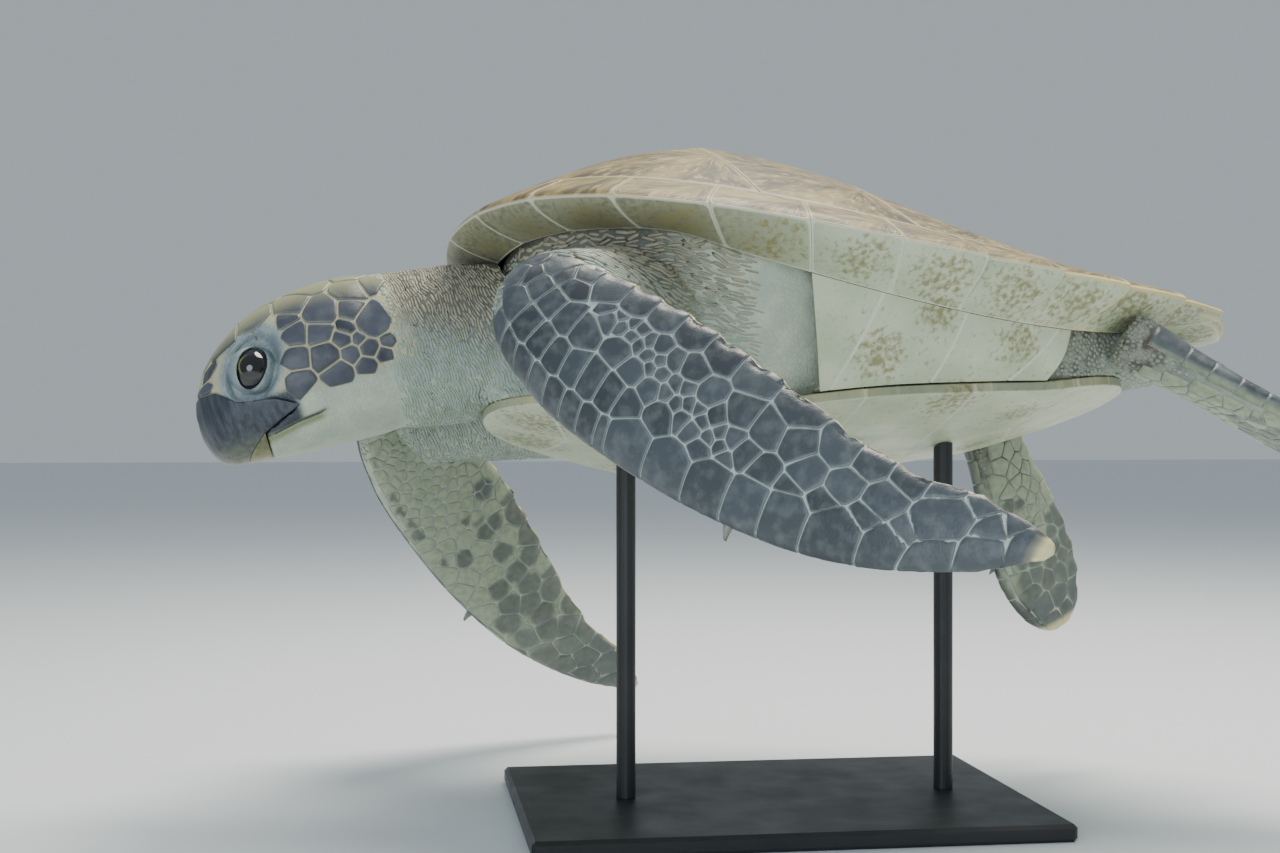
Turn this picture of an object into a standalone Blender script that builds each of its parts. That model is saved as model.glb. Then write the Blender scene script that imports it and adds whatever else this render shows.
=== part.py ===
"""A green sea turtle, a subadult, life size, swimming over a plain display stand.

Metres, +Z up. The animal is modelled in its own body axes (head towards -X, tail towards +X, its
left side towards -Y, the underside of its plastron near z = 0) and then banked on the stand.
"""

import math

import bmesh
import bpy
from mathutils import Vector

# ---- driving dimensions ---------------------------------------------------------------------
SHELL_LENGTH = 0.66         # straight carapace length
GAP = 0.0003                # clearance between pieces that touch
PLATE = 0.008               # thickness of the horny plates and the bone under them

BANK = math.radians(-13.5)  # the left side is raised
NOSE_DOWN = math.radians(-3.8)
TURTLE_AT = (-0.2545, 0.0472, 0.282)  # where the body axes' origin hangs above the floor

# carapace, as shares of its length
HALF_WIDTH = 0.351
FRONT_WIDER = 0.354         # how much the widest place is drawn towards the head
RIM_FRONT = 0.290           # height of the rim at the neck
RIM_FALL = 0.163            # how far the rim falls towards the tail
RIM_SAG = 0.051             # how far it sags between the two
CROWN = 0.181               # height of the dome above the rim
CROWN_SKEW = 0.90           # how much higher the dome is towards the head
FLARE = 0.35                # how much the rim flares outwards
NUCHAL_SHARE = 0.045        # half of the nuchal plate, as a share of half the rim
MARGINALS = 11              # on each side, besides one supracaudal
MARGIN_TOP = 0.87           # where the marginals' upper edge lies, of the way from the centre
SERRATION = 0.030           # how far the rear marginals' points stand out

# plastron and bridge
PLASTRON_FRONT, PLASTRON_REAR = 0.060, 0.885
PLASTRON_HALF_WIDTH = 0.235
BELLY = 0.030               # how far the belly bulges down, about a third of the way back
BRIDGE_FROM, BRIDGE_TO = 5, 9   # the bridge runs from one marginal seam to another

CENTRE = Vector((0.44 * SHELL_LENGTH, 0.0, 0.0))  # the carapace's highest place, in plan


# ---- scene and materials --------------------------------------------------------------------
def clear_scene():
    for old in list(bpy.data.objects):
        bpy.data.objects.remove(old, do_unlink=True)


def finish(name, colour, roughness, metallic=0.0):
    """A plain Principled material."""
    material = bpy.data.materials.new(name)
    material.use_nodes = True
    shader = material.node_tree.nodes["Principled BSDF"]
    shader.inputs["Base Color"].default_value = (*colour, 1.0)
    shader.inputs["Roughness"].default_value = roughness
    shader.inputs["Metallic"].default_value = metallic
    return material


def add_object(name, bm, material, parent=None, smooth=True):
    """Closes a bmesh into one named object."""
    bmesh.ops.recalc_face_normals(bm, faces=bm.faces[:])
    mesh = bpy.data.meshes.new(name)
    bm.to_mesh(mesh)
    bm.free()
    mesh.materials.append(material)
    if smooth:
        mesh.shade_smooth()
        mesh.set_sharp_from_angle(angle=math.radians(45))
    piece = bpy.data.objects.new(name, mesh)
    bpy.context.collection.objects.link(piece)
    piece.parent = parent
    return piece


def as_guide(piece):
    piece.hide_render = True
    piece.display_type = "WIRE"
    return piece


def boolean(piece, cutter, operation="DIFFERENCE"):
    step = piece.modifiers.new(operation.title(), "BOOLEAN")
    step.operation = operation
    step.solver = "EXACT"
    step.object = cutter


# ---- small geometry helpers -----------------------------------------------------------------
def mix(a, b, share):
    return a + (b - a) * share


def smooth_table(rows, count):
    """Reads a table of control rows as a smooth curve, at evenly spaced places."""
    out = []
    last = len(rows) - 1
    for i in range(count):
        place = last * i / (count - 1)
        k = min(int(place), last - 1)
        t = place - k
        a, b, c, d = (rows[min(max(k + j, 0), last)] for j in (-1, 0, 1, 2))
        out.append([
            0.5 * (2 * q + (r - p) * t + (2 * p - 5 * q + 4 * r - s) * t * t
                   + (3 * q - p - 3 * r + s) * t ** 3)
            for p, q, r, s in zip(a, b, c, d)
        ])
    return out


def loft(rings):
    """Bridges closed rings of points into a closed skin with a flat cap at each end."""
    bm = bmesh.new()
    loops = [[bm.verts.new(point) for point in ring] for ring in rings]
    for one, other in zip(loops, loops[1:]):
        for i in range(len(one)):
            j = (i + 1) % len(one)
            bm.faces.new((one[i], one[j], other[j], other[i]))
    bm.faces.new(loops[0][::-1])
    bm.faces.new(loops[-1])
    return bm


def swell(bm, distance):
    """Moves every face of a bmesh outwards by about the distance."""
    bmesh.ops.recalc_face_normals(bm, faces=bm.faces[:])
    bm.normal_update()
    moves = {v: v.normal * distance * min(v.calc_shell_factor(), 3.0) for v in bm.verts}
    for vert, move in moves.items():
        vert.co += move


def sign(value):
    return -1.0 if value < 0 else 1.0


# ---- the shell's own surfaces ---------------------------------------------------------------
def rim_plan(angle):
    """Plan of the carapace rim: 0 at the neck, pi at the tail, positive on the left side."""
    x = SHELL_LENGTH * (1 - math.cos(angle)) / 2
    y = -SHELL_LENGTH * HALF_WIDTH * math.sin(angle) * (1 + FRONT_WIDER * math.cos(angle))
    return Vector((x, y, 0.0))


def rim_height(x):
    u = x / SHELL_LENGTH
    sag = RIM_SAG * math.sin(math.pi * min(max(u, 0.0), 1.0))
    return SHELL_LENGTH * (RIM_FRONT - RIM_FALL * u - sag)


def rim_share(x, y):
    """How far a plan point lies from the shell's centre to its rim: 0 to 1."""
    offset = Vector((x - CENTRE.x, -abs(y)))
    if offset.length < 1e-9:
        return 0.0
    bearing = math.atan2(-offset.y, -offset.x)
    low, high = 0.0, math.pi
    for _ in range(40):
        middle = (low + high) / 2
        rim = rim_plan(middle) - CENTRE
        if math.atan2(-rim.y, -rim.x) < bearing:
            low = middle
        else:
            high = middle
    return offset.length / (rim_plan(low) - CENTRE).length


def dome_height(x, y):
    r2 = rim_share(x, y) ** 2
    crown = SHELL_LENGTH * CROWN * (1 + CROWN_SKEW * (0.5 - x / SHELL_LENGTH))
    return rim_height(x) + crown * (1 - (1 + FLARE) * r2 + FLARE * r2 * r2)


def dome_normal(x, y):
    step = 0.002
    dx = (dome_height(x + step, y) - dome_height(x - step, y)) / (2 * step)
    dy = (dome_height(x, y + step) - dome_height(x, y - step)) / (2 * step)
    return Vector((-dx, -dy, 1.0)).normalized()


def dome_point(x, y, depth=0.0):
    """A point on the carapace, or as deep under it."""
    return Vector((x, y, dome_height(x, y))) - dome_normal(x, y) * depth


def spoke(angle, share):
    """Plan point on the line from the shell's centre to its rim."""
    return CENTRE + (rim_plan(angle) - CENTRE) * share


def seam_angles():
    """Rim angles of the marginals' seams on one side: the first ends the nuchal, the last is pi."""
    steps = 2000
    travelled, table = 0.0, [(0.0, 0.0)]
    for i in range(steps):
        a, b = math.pi * i / steps, math.pi * (i + 1) / steps
        travelled += (rim_plan(b) - rim_plan(a)).length
        table.append((travelled, b))
    found = []
    count = MARGINALS + 1
    for k in range(count + 1):
        wanted = travelled * (NUCHAL_SHARE + (1 - NUCHAL_SHARE) * k / count)
        found.append(next((a for s, a in table if s >= wanted - 1e-9), math.pi))
    found[-1] = math.pi
    return found


SEAMS = seam_angles()


def seam(place):
    """Rim angle at a marginal seam, or between two of them."""
    k = min(max(int(place), 0), MARGINALS)
    return mix(SEAMS[k], SEAMS[k + 1], place - k)


def side_weight(angle):
    """1 along the sides, where the shell is joined to the plastron, and 0 at neck and tail."""
    a, b = seam(BRIDGE_FROM - 1.5), seam(BRIDGE_TO + 2)
    t = min(max((abs(angle) - a) / (b - a), 0.0), 1.0)
    return math.sin(math.pi * t) ** 0.7


def under_edge(angle):
    """The marginals' inner edge underneath."""
    w = side_weight(angle)
    plan = spoke(angle, mix(0.865, 0.83, w))
    height = rim_height(plan.x) - SHELL_LENGTH * mix(0.020, 0.056, w)
    return Vector((plan.x, plan.y, height))


def plastron_share(angle):
    """Outline of the plastron, as a share of the way to the rim."""
    rim = rim_plan(angle) - CENTRE
    bearing = math.atan2(abs(rim.y), rim.x)
    half_length = SHELL_LENGTH * (PLASTRON_REAR - PLASTRON_FRONT) / 2
    waist = 1 - 0.10 * math.sin(2 * bearing) ** 2
    a, b = math.cos(bearing) / half_length, math.sin(bearing) / (SHELL_LENGTH * PLASTRON_HALF_WIDTH)
    reach = (abs(a) ** 2.3 + abs(b) ** 2.3) ** (-1 / 2.3) * waist
    return reach / rim.length


def plastron_point(angle, share):
    """A point on the plastron's underside, whose edges turn up a little."""
    plan = spoke(angle, plastron_share(angle) * share)
    u = plan.x / SHELL_LENGTH
    ends = 0.055 * max(0.0, 0.30 - u) / 0.30 + 0.045 * max(0.0, u - 0.70) / 0.30
    bulge = BELLY * math.exp(-((u - 0.36) / 0.22) ** 2) * (1 - 0.6 * share ** 2)
    lift = SHELL_LENGTH * (0.014 * share ** 3 + ends - bulge)
    return Vector((plan.x, plan.y, lift))


# ---- carapace -------------------------------------------------------------------------------
def marginal_section(angle, stand_out):
    """Cross-section of the rim: over the top, round the edge and back underneath."""
    outward = (rim_plan(angle) - CENTRE).normalized()
    across = outward.cross(Vector((0, 0, 1)))

    def top(share, depth=0.0):
        plan = spoke(angle, share)
        normal = dome_normal(plan.x, plan.y)
        normal = (normal - across * normal.dot(across)).normalized()
        return dome_point(plan.x, plan.y) - normal * depth

    edge = top(1.0 + stand_out, 0.0)
    edge.z -= 0.004
    beneath = top(0.985 + stand_out, 0.0)
    beneath.z -= 0.0125
    inner = under_edge(angle)
    middle = mix(beneath, inner, 0.5)
    middle.z -= 0.002
    slope = (beneath - inner).normalized()
    inward = slope.cross(across).normalized()
    if inward.z < 0:
        inward = -inward
    hidden_inner = inner + inward * PLATE
    hidden_middle = middle + inward * PLATE
    hidden_top = top(MARGIN_TOP, PLATE)
    hidden_edge = mix(top(0.93, PLATE), hidden_middle, 0.35)
    return [top(MARGIN_TOP), top(0.93), top(0.985 + stand_out, -0.0005), edge, beneath, middle,
            inner, hidden_inner, hidden_edge, hidden_top]


def rim_plate(name, start, end, stand_outs, parent, material):
    """One plate of the rim, swept between two rim angles."""
    length = (rim_plan(end) - rim_plan(start)).length
    trim = GAP / 2 / length
    places = [trim, 0.5, 1 - trim]
    outs = [stand_outs[0], mix(stand_outs[0], stand_outs[1], 0.45), stand_outs[1]]
    rings = [marginal_section(mix(start, end, t), out) for t, out in zip(places, outs)]
    return add_object(name, loft(rings), material, parent)


def inset(points, distance):
    """Moves a plan outline inwards, with mitred corners."""
    area = sum(a.x * b.y - b.x * a.y for a, b in zip(points, points[1:] + points[:1]))
    turn = sign(area)
    out = []
    for i, here in enumerate(points):
        before, after = points[i - 1], points[(i + 1) % len(points)]
        a = (here - before).normalized()
        b = (after - here).normalized()
        n1, n2 = Vector((-a.y, a.x)) * turn, Vector((-b.y, b.x)) * turn
        out.append(here + (n1 + n2) * (distance / (1 + n1.dot(n2))))
    return out


def straight(a, b, longest=0.045):
    """Points from a up to, but not including, b."""
    count = max(1, math.ceil((b - a).length / longest))
    return [mix(a, b, i / count) for i in range(count)]


def rim_run(start, end, side):
    """Points along the marginals' upper edge, from one seam place up to another."""
    places = [p / 2 for p in range(math.ceil(2 * start), math.ceil(2 * end))]
    angles = [seam(p) if p >= 0 else 0.0 for p in places]
    return [spoke(angle * side, MARGIN_TOP).xy for angle in angles]


def dome_plate(name, outline, parent, material):
    """One plate of the dome: its plan outline laid on the dome and given a thickness."""
    outline = inset(outline, GAP * 0.8)
    middle = sum(outline, Vector((0, 0))) / len(outline)
    bm = bmesh.new()
    ring = [bm.verts.new(dome_point(p.x, p.y)) for p in outline]
    inner = []
    for p in outline:
        q = mix(p, middle, 0.5)
        inner.append(bm.verts.new(dome_point(q.x, q.y)))
    centre = bm.verts.new(dome_point(middle.x, middle.y))
    for i in range(len(ring)):
        j = (i + 1) % len(ring)
        bm.faces.new((ring[i], ring[j], inner[j], inner[i]))
        bm.faces.new((inner[i], inner[j], centre))
    under = bmesh.ops.extrude_face_region(bm, geom=bm.faces[:])
    for vert in under["geom"]:
        if isinstance(vert, bmesh.types.BMVert):
            vert.co -= dome_normal(vert.co.x, vert.co.y) * PLATE
    return add_object(name, bm, material, parent)


# corners of the vertebral plates: along the shell and out from its midline
VERTEBRAL_SEAMS = [(0.225, 0.055), (0.410, 0.055), (0.590, 0.050), (0.765, 0.040)]
VERTEBRAL_POINTS = [(0.315, 0.138), (0.500, 0.132), (0.675, 0.112)]
FIRST_COSTAL, COSTAL_SEAMS, LAST_COSTAL = 1.0, (4.5, 6.5, 8.5), 10.5


def plan_corner(pair, side):
    """A named corner on one side of the midline; the left side is 1."""
    return Vector((pair[0] * SHELL_LENGTH, -side * pair[1] * SHELL_LENGTH))


def first_vertebral():
    """The front one reaches the nuchal and the first marginal on each side."""
    rims = [rim_run(0.0, FIRST_COSTAL, side) for side in (1, -1)]
    corners = [spoke(seam(FIRST_COSTAL), MARGIN_TOP).xy, plan_corner(VERTEBRAL_SEAMS[0], 1),
               plan_corner(VERTEBRAL_SEAMS[0], -1), spoke(-seam(FIRST_COSTAL), MARGIN_TOP).xy]
    outline = [spoke(0.0, MARGIN_TOP).xy, *rims[0]]
    for a, b in zip(corners, corners[1:]):
        outline += straight(a, b)
    return outline + [corners[-1]] + rims[1][::-1]


def middle_vertebral(i):
    """A hexagon with its widest corners where two costals meet."""
    pairs = [VERTEBRAL_SEAMS[i], VERTEBRAL_POINTS[i], VERTEBRAL_SEAMS[i + 1]]
    ring = [plan_corner(pair, 1) for pair in pairs]
    ring += [plan_corner(pair, -1) for pair in reversed(pairs)]
    return [p for a, b in zip(ring, ring[1:] + ring[:1]) for p in straight(a, b)]


def last_vertebral():
    """The rear one widens to the supracaudals and the last marginals."""
    rims = [rim_run(LAST_COSTAL, MARGINALS + 1, side) for side in (1, -1)]
    left, right = (plan_corner(VERTEBRAL_SEAMS[-1], side) for side in (1, -1))
    outline = straight(right, left) + straight(left, rims[0][0]) + rims[0]
    outline += [spoke(math.pi, MARGIN_TOP).xy] + rims[1][::-1]
    return outline + straight(rims[1][0], right)[1:]


def make_vertebrals(parent, material):
    outlines = [first_vertebral(), *(middle_vertebral(i) for i in range(3)), last_vertebral()]
    for number, outline in enumerate(outlines, start=1):
        dome_plate(f"vertebral_{number}", outline, parent, material)


def make_costals(parent, material):
    starts = (FIRST_COSTAL, *COSTAL_SEAMS)
    ends = (*COSTAL_SEAMS, LAST_COSTAL)
    inner = [
        [VERTEBRAL_POINTS[0], VERTEBRAL_SEAMS[0]],
        [VERTEBRAL_POINTS[1], VERTEBRAL_SEAMS[1], VERTEBRAL_POINTS[0]],
        [VERTEBRAL_POINTS[2], VERTEBRAL_SEAMS[2], VERTEBRAL_POINTS[1]],
        [VERTEBRAL_SEAMS[3], VERTEBRAL_POINTS[2]],
    ]
    for word, side in (("left", 1), ("right", -1)):
        for i in range(4):
            rim = rim_run(starts[i], ends[i], side)
            last = spoke(seam(ends[i]) * side, MARGIN_TOP).xy
            chain = [last] + [plan_corner(pair, side) for pair in inner[i]] + [rim[0]]
            outline = list(rim)
            for a, b in zip(chain, chain[1:]):
                outline += straight(a, b)
            dome_plate(f"costal_{word}_{i + 1}", outline, parent, material)


def make_rim(parent, material):
    rim_plate("nuchal", -SEAMS[0], SEAMS[0], (0.0, 0.0), parent, material)
    for word, side in (("left", 1), ("right", -1)):
        for k in range(MARGINALS + 1):
            grow = SERRATION * min(max((k - 5) / 4, 0.0), 1.0)
            name = f"marginal_{word}_{k + 1}" if k < MARGINALS else f"supracaudal_{word}"
            rim_plate(name, SEAMS[k] * side, SEAMS[k + 1] * side, (0.0, grow), parent, material)


# ---- plastron and bridge --------------------------------------------------------------------
def rim_angles():
    """All rim angles at which the body's rings have points: every seam and half-way between."""
    left = [seam(p / 2) for p in range(2 * MARGINALS + 3)]
    return [0.0] + left[:-1] + [math.pi] + [-a for a in left[-2::-1]]


def make_plastron(parent, material):
    angles = rim_angles()
    bm = bmesh.new()
    edge = 1.0 - 0.002
    rows = [[bm.verts.new(plastron_point(a, share)) for a in angles] for share in (edge, 0.6)]
    centre = bm.verts.new(plastron_point(0.0, 0.0))
    for i in range(len(angles)):
        j = (i + 1) % len(angles)
        bm.faces.new((rows[0][i], rows[0][j], rows[1][j], rows[1][i]))
        bm.faces.new((rows[1][i], rows[1][j], centre))
    upper = bmesh.ops.extrude_face_region(bm, geom=bm.faces[:])
    for vert in upper["geom"]:
        if isinstance(vert, bmesh.types.BMVert):
            vert.co.z += PLATE
    return add_object("plastron", bm, material, parent)


def bridge_section(angle):
    upper = under_edge(angle)
    lower = plastron_point(angle, 1.0) + Vector((0, 0, PLATE + 2 * GAP))
    down = (lower - upper).normalized()
    outward = (rim_plan(angle) - CENTRE).normalized()
    inward = down.cross(outward.cross(Vector((0, 0, 1)))).normalized()
    if inward.dot(outward) > 0:
        inward = -inward
    top, foot = upper + down * GAP, lower
    middle = mix(top, foot, 0.5) - inward * 0.006
    return [top, middle, foot, foot + inward * PLATE, middle + inward * PLATE, top + inward * PLATE]


def make_bridges(parent, material):
    for word, side in (("left", 1), ("right", -1)):
        places = [p / 2 for p in range(2 * BRIDGE_FROM, 2 * BRIDGE_TO + 1)]
        rings = [bridge_section(seam(p) * side) for p in places]
        add_object(f"bridge_{word}", loft(rings), material, parent)


# ---- trunk ----------------------------------------------------------------------------------
def bridged(angle):
    low, high = seam(BRIDGE_FROM), seam(BRIDGE_TO)
    return low - 1e-6 <= abs(angle) <= high + 1e-6


def body_rings(plated):
    """Rings of the whole body from its crown down: the flesh alone, or with its plates on."""
    angles = rim_angles()
    depth = 0.0 if plated else PLATE + 0.0030
    rings = []
    for share in (0.02, 0.3, 0.6, 0.862):
        plan = [spoke(a, share) for a in angles]
        rings.append([dome_point(p.x, p.y, depth) for p in plan])
    outer, under, flank, foot, belly = [], [], [], [], []
    for angle in angles:
        inwards = (CENTRE - spoke(angle, 1)).normalized()
        section = marginal_section(angle, SERRATION if plated else 0.0)
        lower = plastron_point(angle, 1.0)
        ledge = lower + Vector((0, 0, PLATE + 2 * GAP))
        if plated:
            outer.append(section[3:6])
            under.append(section[6])
            waist = bridge_section(angle)[1] if bridged(angle) else mix(section[6], ledge, 0.55)
            flank.append(waist)
            foot.append((ledge, lower))
        else:
            outer.append([section[8] + inwards * 0.004])
            under.append(section[7] + inwards * 0.004)
            if bridged(angle):
                flank.append(bridge_section(angle)[4] + inwards * 0.003)
                foot.append([mix(ledge, CENTRE, 0.08) + Vector((0, 0, 0.005))])
            else:
                flank.append(mix(section[6], ledge, 0.55) + inwards * 0.001)
                foot.append([ledge + inwards * 0.004])
        belly.append(plastron_point(angle, 0.6) + Vector((0, 0, 0.0 if plated else PLATE + 0.002)))
    rings += [list(ring) for ring in zip(*outer)]
    rings += [under, flank, *[list(ring) for ring in zip(*foot)], belly]
    middle = plastron_point(0.0, 0.0) + Vector((0, 0, 0.0 if plated else PLATE + 0.002))
    rings.append([mix(middle, p, 0.05) for p in belly])
    return rings


def make_trunk(parent, material):
    return add_object("trunk", loft(body_rings(False)), material, parent)


def swollen_guide(name, bm, distance, parent, material):
    """A guide a little larger than a piece, which trims whatever meets that piece."""
    swell(bm, distance)
    return as_guide(add_object(name, bm, material, parent))


def make_body_guides(parent, material):
    """The plated body and the bare trunk, which trim the neck, limbs, tail and stand."""
    return [
        swollen_guide("body_guide", loft(body_rings(True)), 3 * GAP, parent, material),
        swollen_guide("trunk_guide", loft(body_rings(False)), GAP, parent, material),
    ]


# ---- head and neck --------------------------------------------------------------------------
HEAD_AT = (-0.055, 0.0, 0.105)
HEAD_PITCH = math.radians(-12)
HEAD_SIDES = 20
# distance ahead of the nape, height of crown, height of jaw, half width, how square the section
HEAD_ROWS = [
    (GAP, 0.067, -0.0655, 0.0555, 2.05),
    (0.020, 0.069, -0.066, 0.057, 2.1),
    (0.050, 0.068, -0.065, 0.057, 2.2),
    (0.084, 0.062, -0.064, 0.054, 2.2),
    (0.108, 0.052, -0.062, 0.047, 2.2),
    (0.128, 0.038, -0.060, 0.040, 2.2),
    (0.144, 0.022, -0.058, 0.031, 2.2),
    (0.154, 0.006, -0.048, 0.020, 2.1),
    (0.159, -0.010, -0.032, 0.009, 2.0),
]
EYE_RADIUS = 0.0195
EYE_AT = (-0.106, 0.0300, 0.004)   # ahead, out and up in the head's own axes


def section_ring(centre, across, up, half_width, top, bottom, power, sides):
    """A rounded cross-section with its own crown and belly heights."""
    ring = []
    for i in range(sides):
        a = 2 * math.pi * i / sides
        c, s = math.cos(a), math.sin(a)
        reach = (abs(c) ** power + abs(s) ** power) ** (-1 / power)
        high = (top - bottom) / 2
        ring.append(centre + across * (half_width * reach * c)
                    + up * ((top + bottom) / 2 + high * reach * s))
    return ring


def head_loft():
    rows = smooth_table(HEAD_ROWS, 15)
    rings = [
        section_ring(Vector((-row[0], 0, 0)), Vector((0, 1, 0)), Vector((0, 0, 1)),
                     row[3], row[1], row[2], row[4], HEAD_SIDES)
        for row in rows
    ]
    return loft(rings)


# side outlines of the horny beak, ahead of the nape and up
UPPER_BEAK = [(0.175, 0.002), (0.140, -0.006), (0.125, -0.020), (0.096, -0.026), (0.078, -0.036),
              (0.110, -0.047), (0.138, -0.066), (0.175, -0.075)]
LOWER_BEAK = [(0.110, -0.0475), (0.138, -0.0665), (0.145, -0.080), (0.110, -0.080)]


def side_prism(name, outline, parent, material, grow=0.0):
    """A guide block with a given side outline, as wide as the head."""
    points = inset([Vector(p) for p in outline], -grow)
    bm = bmesh.new()
    face = bm.faces.new([bm.verts.new((-p.x, -0.1, p.y)) for p in points])
    other = bmesh.ops.extrude_face_region(bm, geom=[face])
    for vert in other["geom"]:
        if isinstance(vert, bmesh.types.BMVert):
            vert.co.y = 0.1
    return as_guide(add_object(name, bm, material, parent, smooth=False))


def make_head(parent, skin, horn, eye_finish):
    place = bpy.data.objects.new("head_axes", None)
    bpy.context.collection.objects.link(place)
    place.parent = parent
    place.location = HEAD_AT
    place.rotation_euler = (0.0, HEAD_PITCH, 0.0)

    head = add_object("head", head_loft(), skin, place)
    for name, outline in (("upper_beak", UPPER_BEAK), ("lower_beak", LOWER_BEAK)):
        boolean(head, side_prism(f"{name}_slot", outline, place, horn, GAP))
        sheath = add_object(name, head_loft(), horn, place)
        boolean(sheath, side_prism(f"{name}_block", outline, place, horn), "INTERSECT")
    for word, side in (("left", -1), ("right", 1)):
        centre = Vector((EYE_AT[0], side * EYE_AT[1], EYE_AT[2]))
        for radius, name in ((EYE_RADIUS, f"eye_{word}"), (EYE_RADIUS + GAP, f"socket_{word}")):
            bm = bmesh.new()
            bmesh.ops.create_uvsphere(bm, u_segments=14, v_segments=9, radius=radius)
            ball = add_object(name, bm, eye_finish, place)
            ball.location = centre
            if name.startswith("socket"):
                boolean(head, as_guide(ball))


# along the neck: where its middle lies, how it leans, half width, crown and belly
NECK_ROWS = [
    (0.110, 0.100, 0.0, 0.085, 0.062, -0.050),
    (0.060, 0.104, 0.0, 0.078, 0.069, -0.058),
    (0.015, 0.107, 0.0, 0.067, 0.068, -0.064),
    (-0.022, 0.106, -6.0, 0.058, 0.066, -0.066),
    (-0.055, 0.105, -12.0, 0.0555, 0.0670, -0.0655),
]


def neck_loft():
    rings = []
    for x, z, lean, half_width, top, bottom in smooth_table(NECK_ROWS, 7):
        up = Vector((-math.sin(math.radians(-lean)), 0, math.cos(math.radians(lean))))
        rings.append(section_ring(Vector((x, 0, z)), Vector((0, 1, 0)), up,
                                  half_width, top, bottom, 2.05, HEAD_SIDES))
    return loft(rings)


def make_neck(parent, material, guides):
    """Returns a guide that trims the shoulders where they meet the neck."""
    neck = add_object("neck", neck_loft(), material, parent)
    for guide in guides:
        boolean(neck, guide)
    return swollen_guide("neck_guide", neck_loft(), GAP, parent, material)


# ---- flippers -------------------------------------------------------------------------------
# Each row is a section of a left limb in its own axes, X along the blade and Y towards the
# trailing edge: x, z, leading edge, trailing edge, half thickness.
FRONT_ROWS = [
    (-0.024, -0.003, -0.032, 0.000, 0.009),
    (-0.016, -0.002, -0.046, 0.010, 0.020),
    (-0.001, -0.001, -0.060, 0.017, 0.026),
    (0.022, 0.000, -0.072, 0.021, 0.026),
    (0.052, 0.001, -0.080, 0.024, 0.023),
    (0.085, 0.002, -0.086, 0.026, 0.020),
    (0.130, 0.002, -0.089, 0.026, 0.017),
    (0.180, 0.001, -0.090, 0.020, 0.0145),
    (0.230, 0.000, -0.087, 0.014, 0.012),
    (0.285, -0.002, -0.079, 0.004, 0.0095),
    (0.335, -0.004, -0.063, 0.004, 0.0075),
    (0.380, -0.007, -0.041, 0.012, 0.0055),
    (0.408, -0.009, -0.020, 0.008, 0.0042),
    (0.424, -0.010, -0.006, 0.003, 0.0030),
]
HIND_ROWS = [
    (-0.052, 0.002, -0.033, 0.031, 0.024),
    (-0.024, 0.001, -0.034, 0.032, 0.022),
    (0.010, 0.001, -0.036, 0.034, 0.017),
    (0.050, 0.000, -0.044, 0.044, 0.012),
    (0.095, 0.000, -0.050, 0.052, 0.009),
    (0.135, -0.001, -0.046, 0.050, 0.0065),
    (0.165, -0.002, -0.032, 0.038, 0.0048),
    (0.182, -0.003, -0.012, 0.016, 0.0032),
]
LIMB_SIDES = 12


def limb_ring(row, side, sides=LIMB_SIDES):
    """A section like a thick wing's, blunt in front and thin behind."""
    x, z, lead, trail, half = row
    ring = []
    for i in range(sides):
        a = 2 * math.pi * (i + 0.5) / sides
        share = (1 - math.cos(a)) / 2
        thick = half * math.sin(a) * (1.25 - 0.5 * share)
        ring.append(Vector((x, side * mix(lead, trail, share), z + thick)))
    return ring


def limb_blade(rows, count, side):
    return loft([limb_ring(row, side) for row in smooth_table(rows, count)])


def make_arm(name, start, end, start_size, end_size, parent, material):
    """A guide for the upper arm: an oval tube from the shoulder to the blade's root."""
    start, end = Vector(start), Vector(end)
    along = (end - start).normalized()
    up = (Vector((0, 0, 1)) - along * along.z).normalized()
    across = along.cross(up)
    rings = []
    for i in range(4):
        t = i / 3
        half_width, half_height = (mix(a, b, t) for a, b in zip(start_size, end_size))
        rings.append(section_ring(mix(start, end, t), across, up, half_width,
                                  half_height, -half_height, 2.0, 12))
    return as_guide(add_object(name, loft(rings), material, parent))


def make_claw(name, at, side, size, parent, material):
    """A short curved claw on a flipper's leading edge, in the flipper's own axes."""
    rings = []
    for i in range(5):
        t = i / 5
        centre = Vector((at[0] + 0.35 * size * t * t, side * (at[1] - size * t), at[2]))
        radius = 0.32 * size * (1 - t) ** 0.8
        rings.append([centre + Vector((radius * math.cos(a), 0, 0.8 * radius * math.sin(a)))
                      for a in (2 * math.pi * k / 8 for k in range(8))])
    return add_object(name, loft(rings), material, parent)


# where the blade's root lies in the body's axes, then its twist, droop and yaw in degrees
FRONT_POSES = {
    "left": ((0.058, -0.231, 0.089), (81, 36.6, -41.9)),
    "right": ((-0.036, 0.178, 0.115), (-42, 37.5, 50.0)),
}
HIND_POSES = {
    "left": ((0.572, -0.105, 0.020), (0, 36, -8)),
    "right": ((0.504, 0.145, 0.016), (-61, 64, 48)),
}
# each upper arm: shoulder and elbow in the body's axes, then its half width and height at each
ARMS = {
    "left": ((0.140, -0.100, 0.090), (0.068, -0.230, 0.062), (0.078, 0.060), (0.050, 0.044)),
    "right": ((0.125, 0.090, 0.085), (-0.020, 0.200, 0.086), (0.078, 0.058), (0.050, 0.034)),
}


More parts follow.
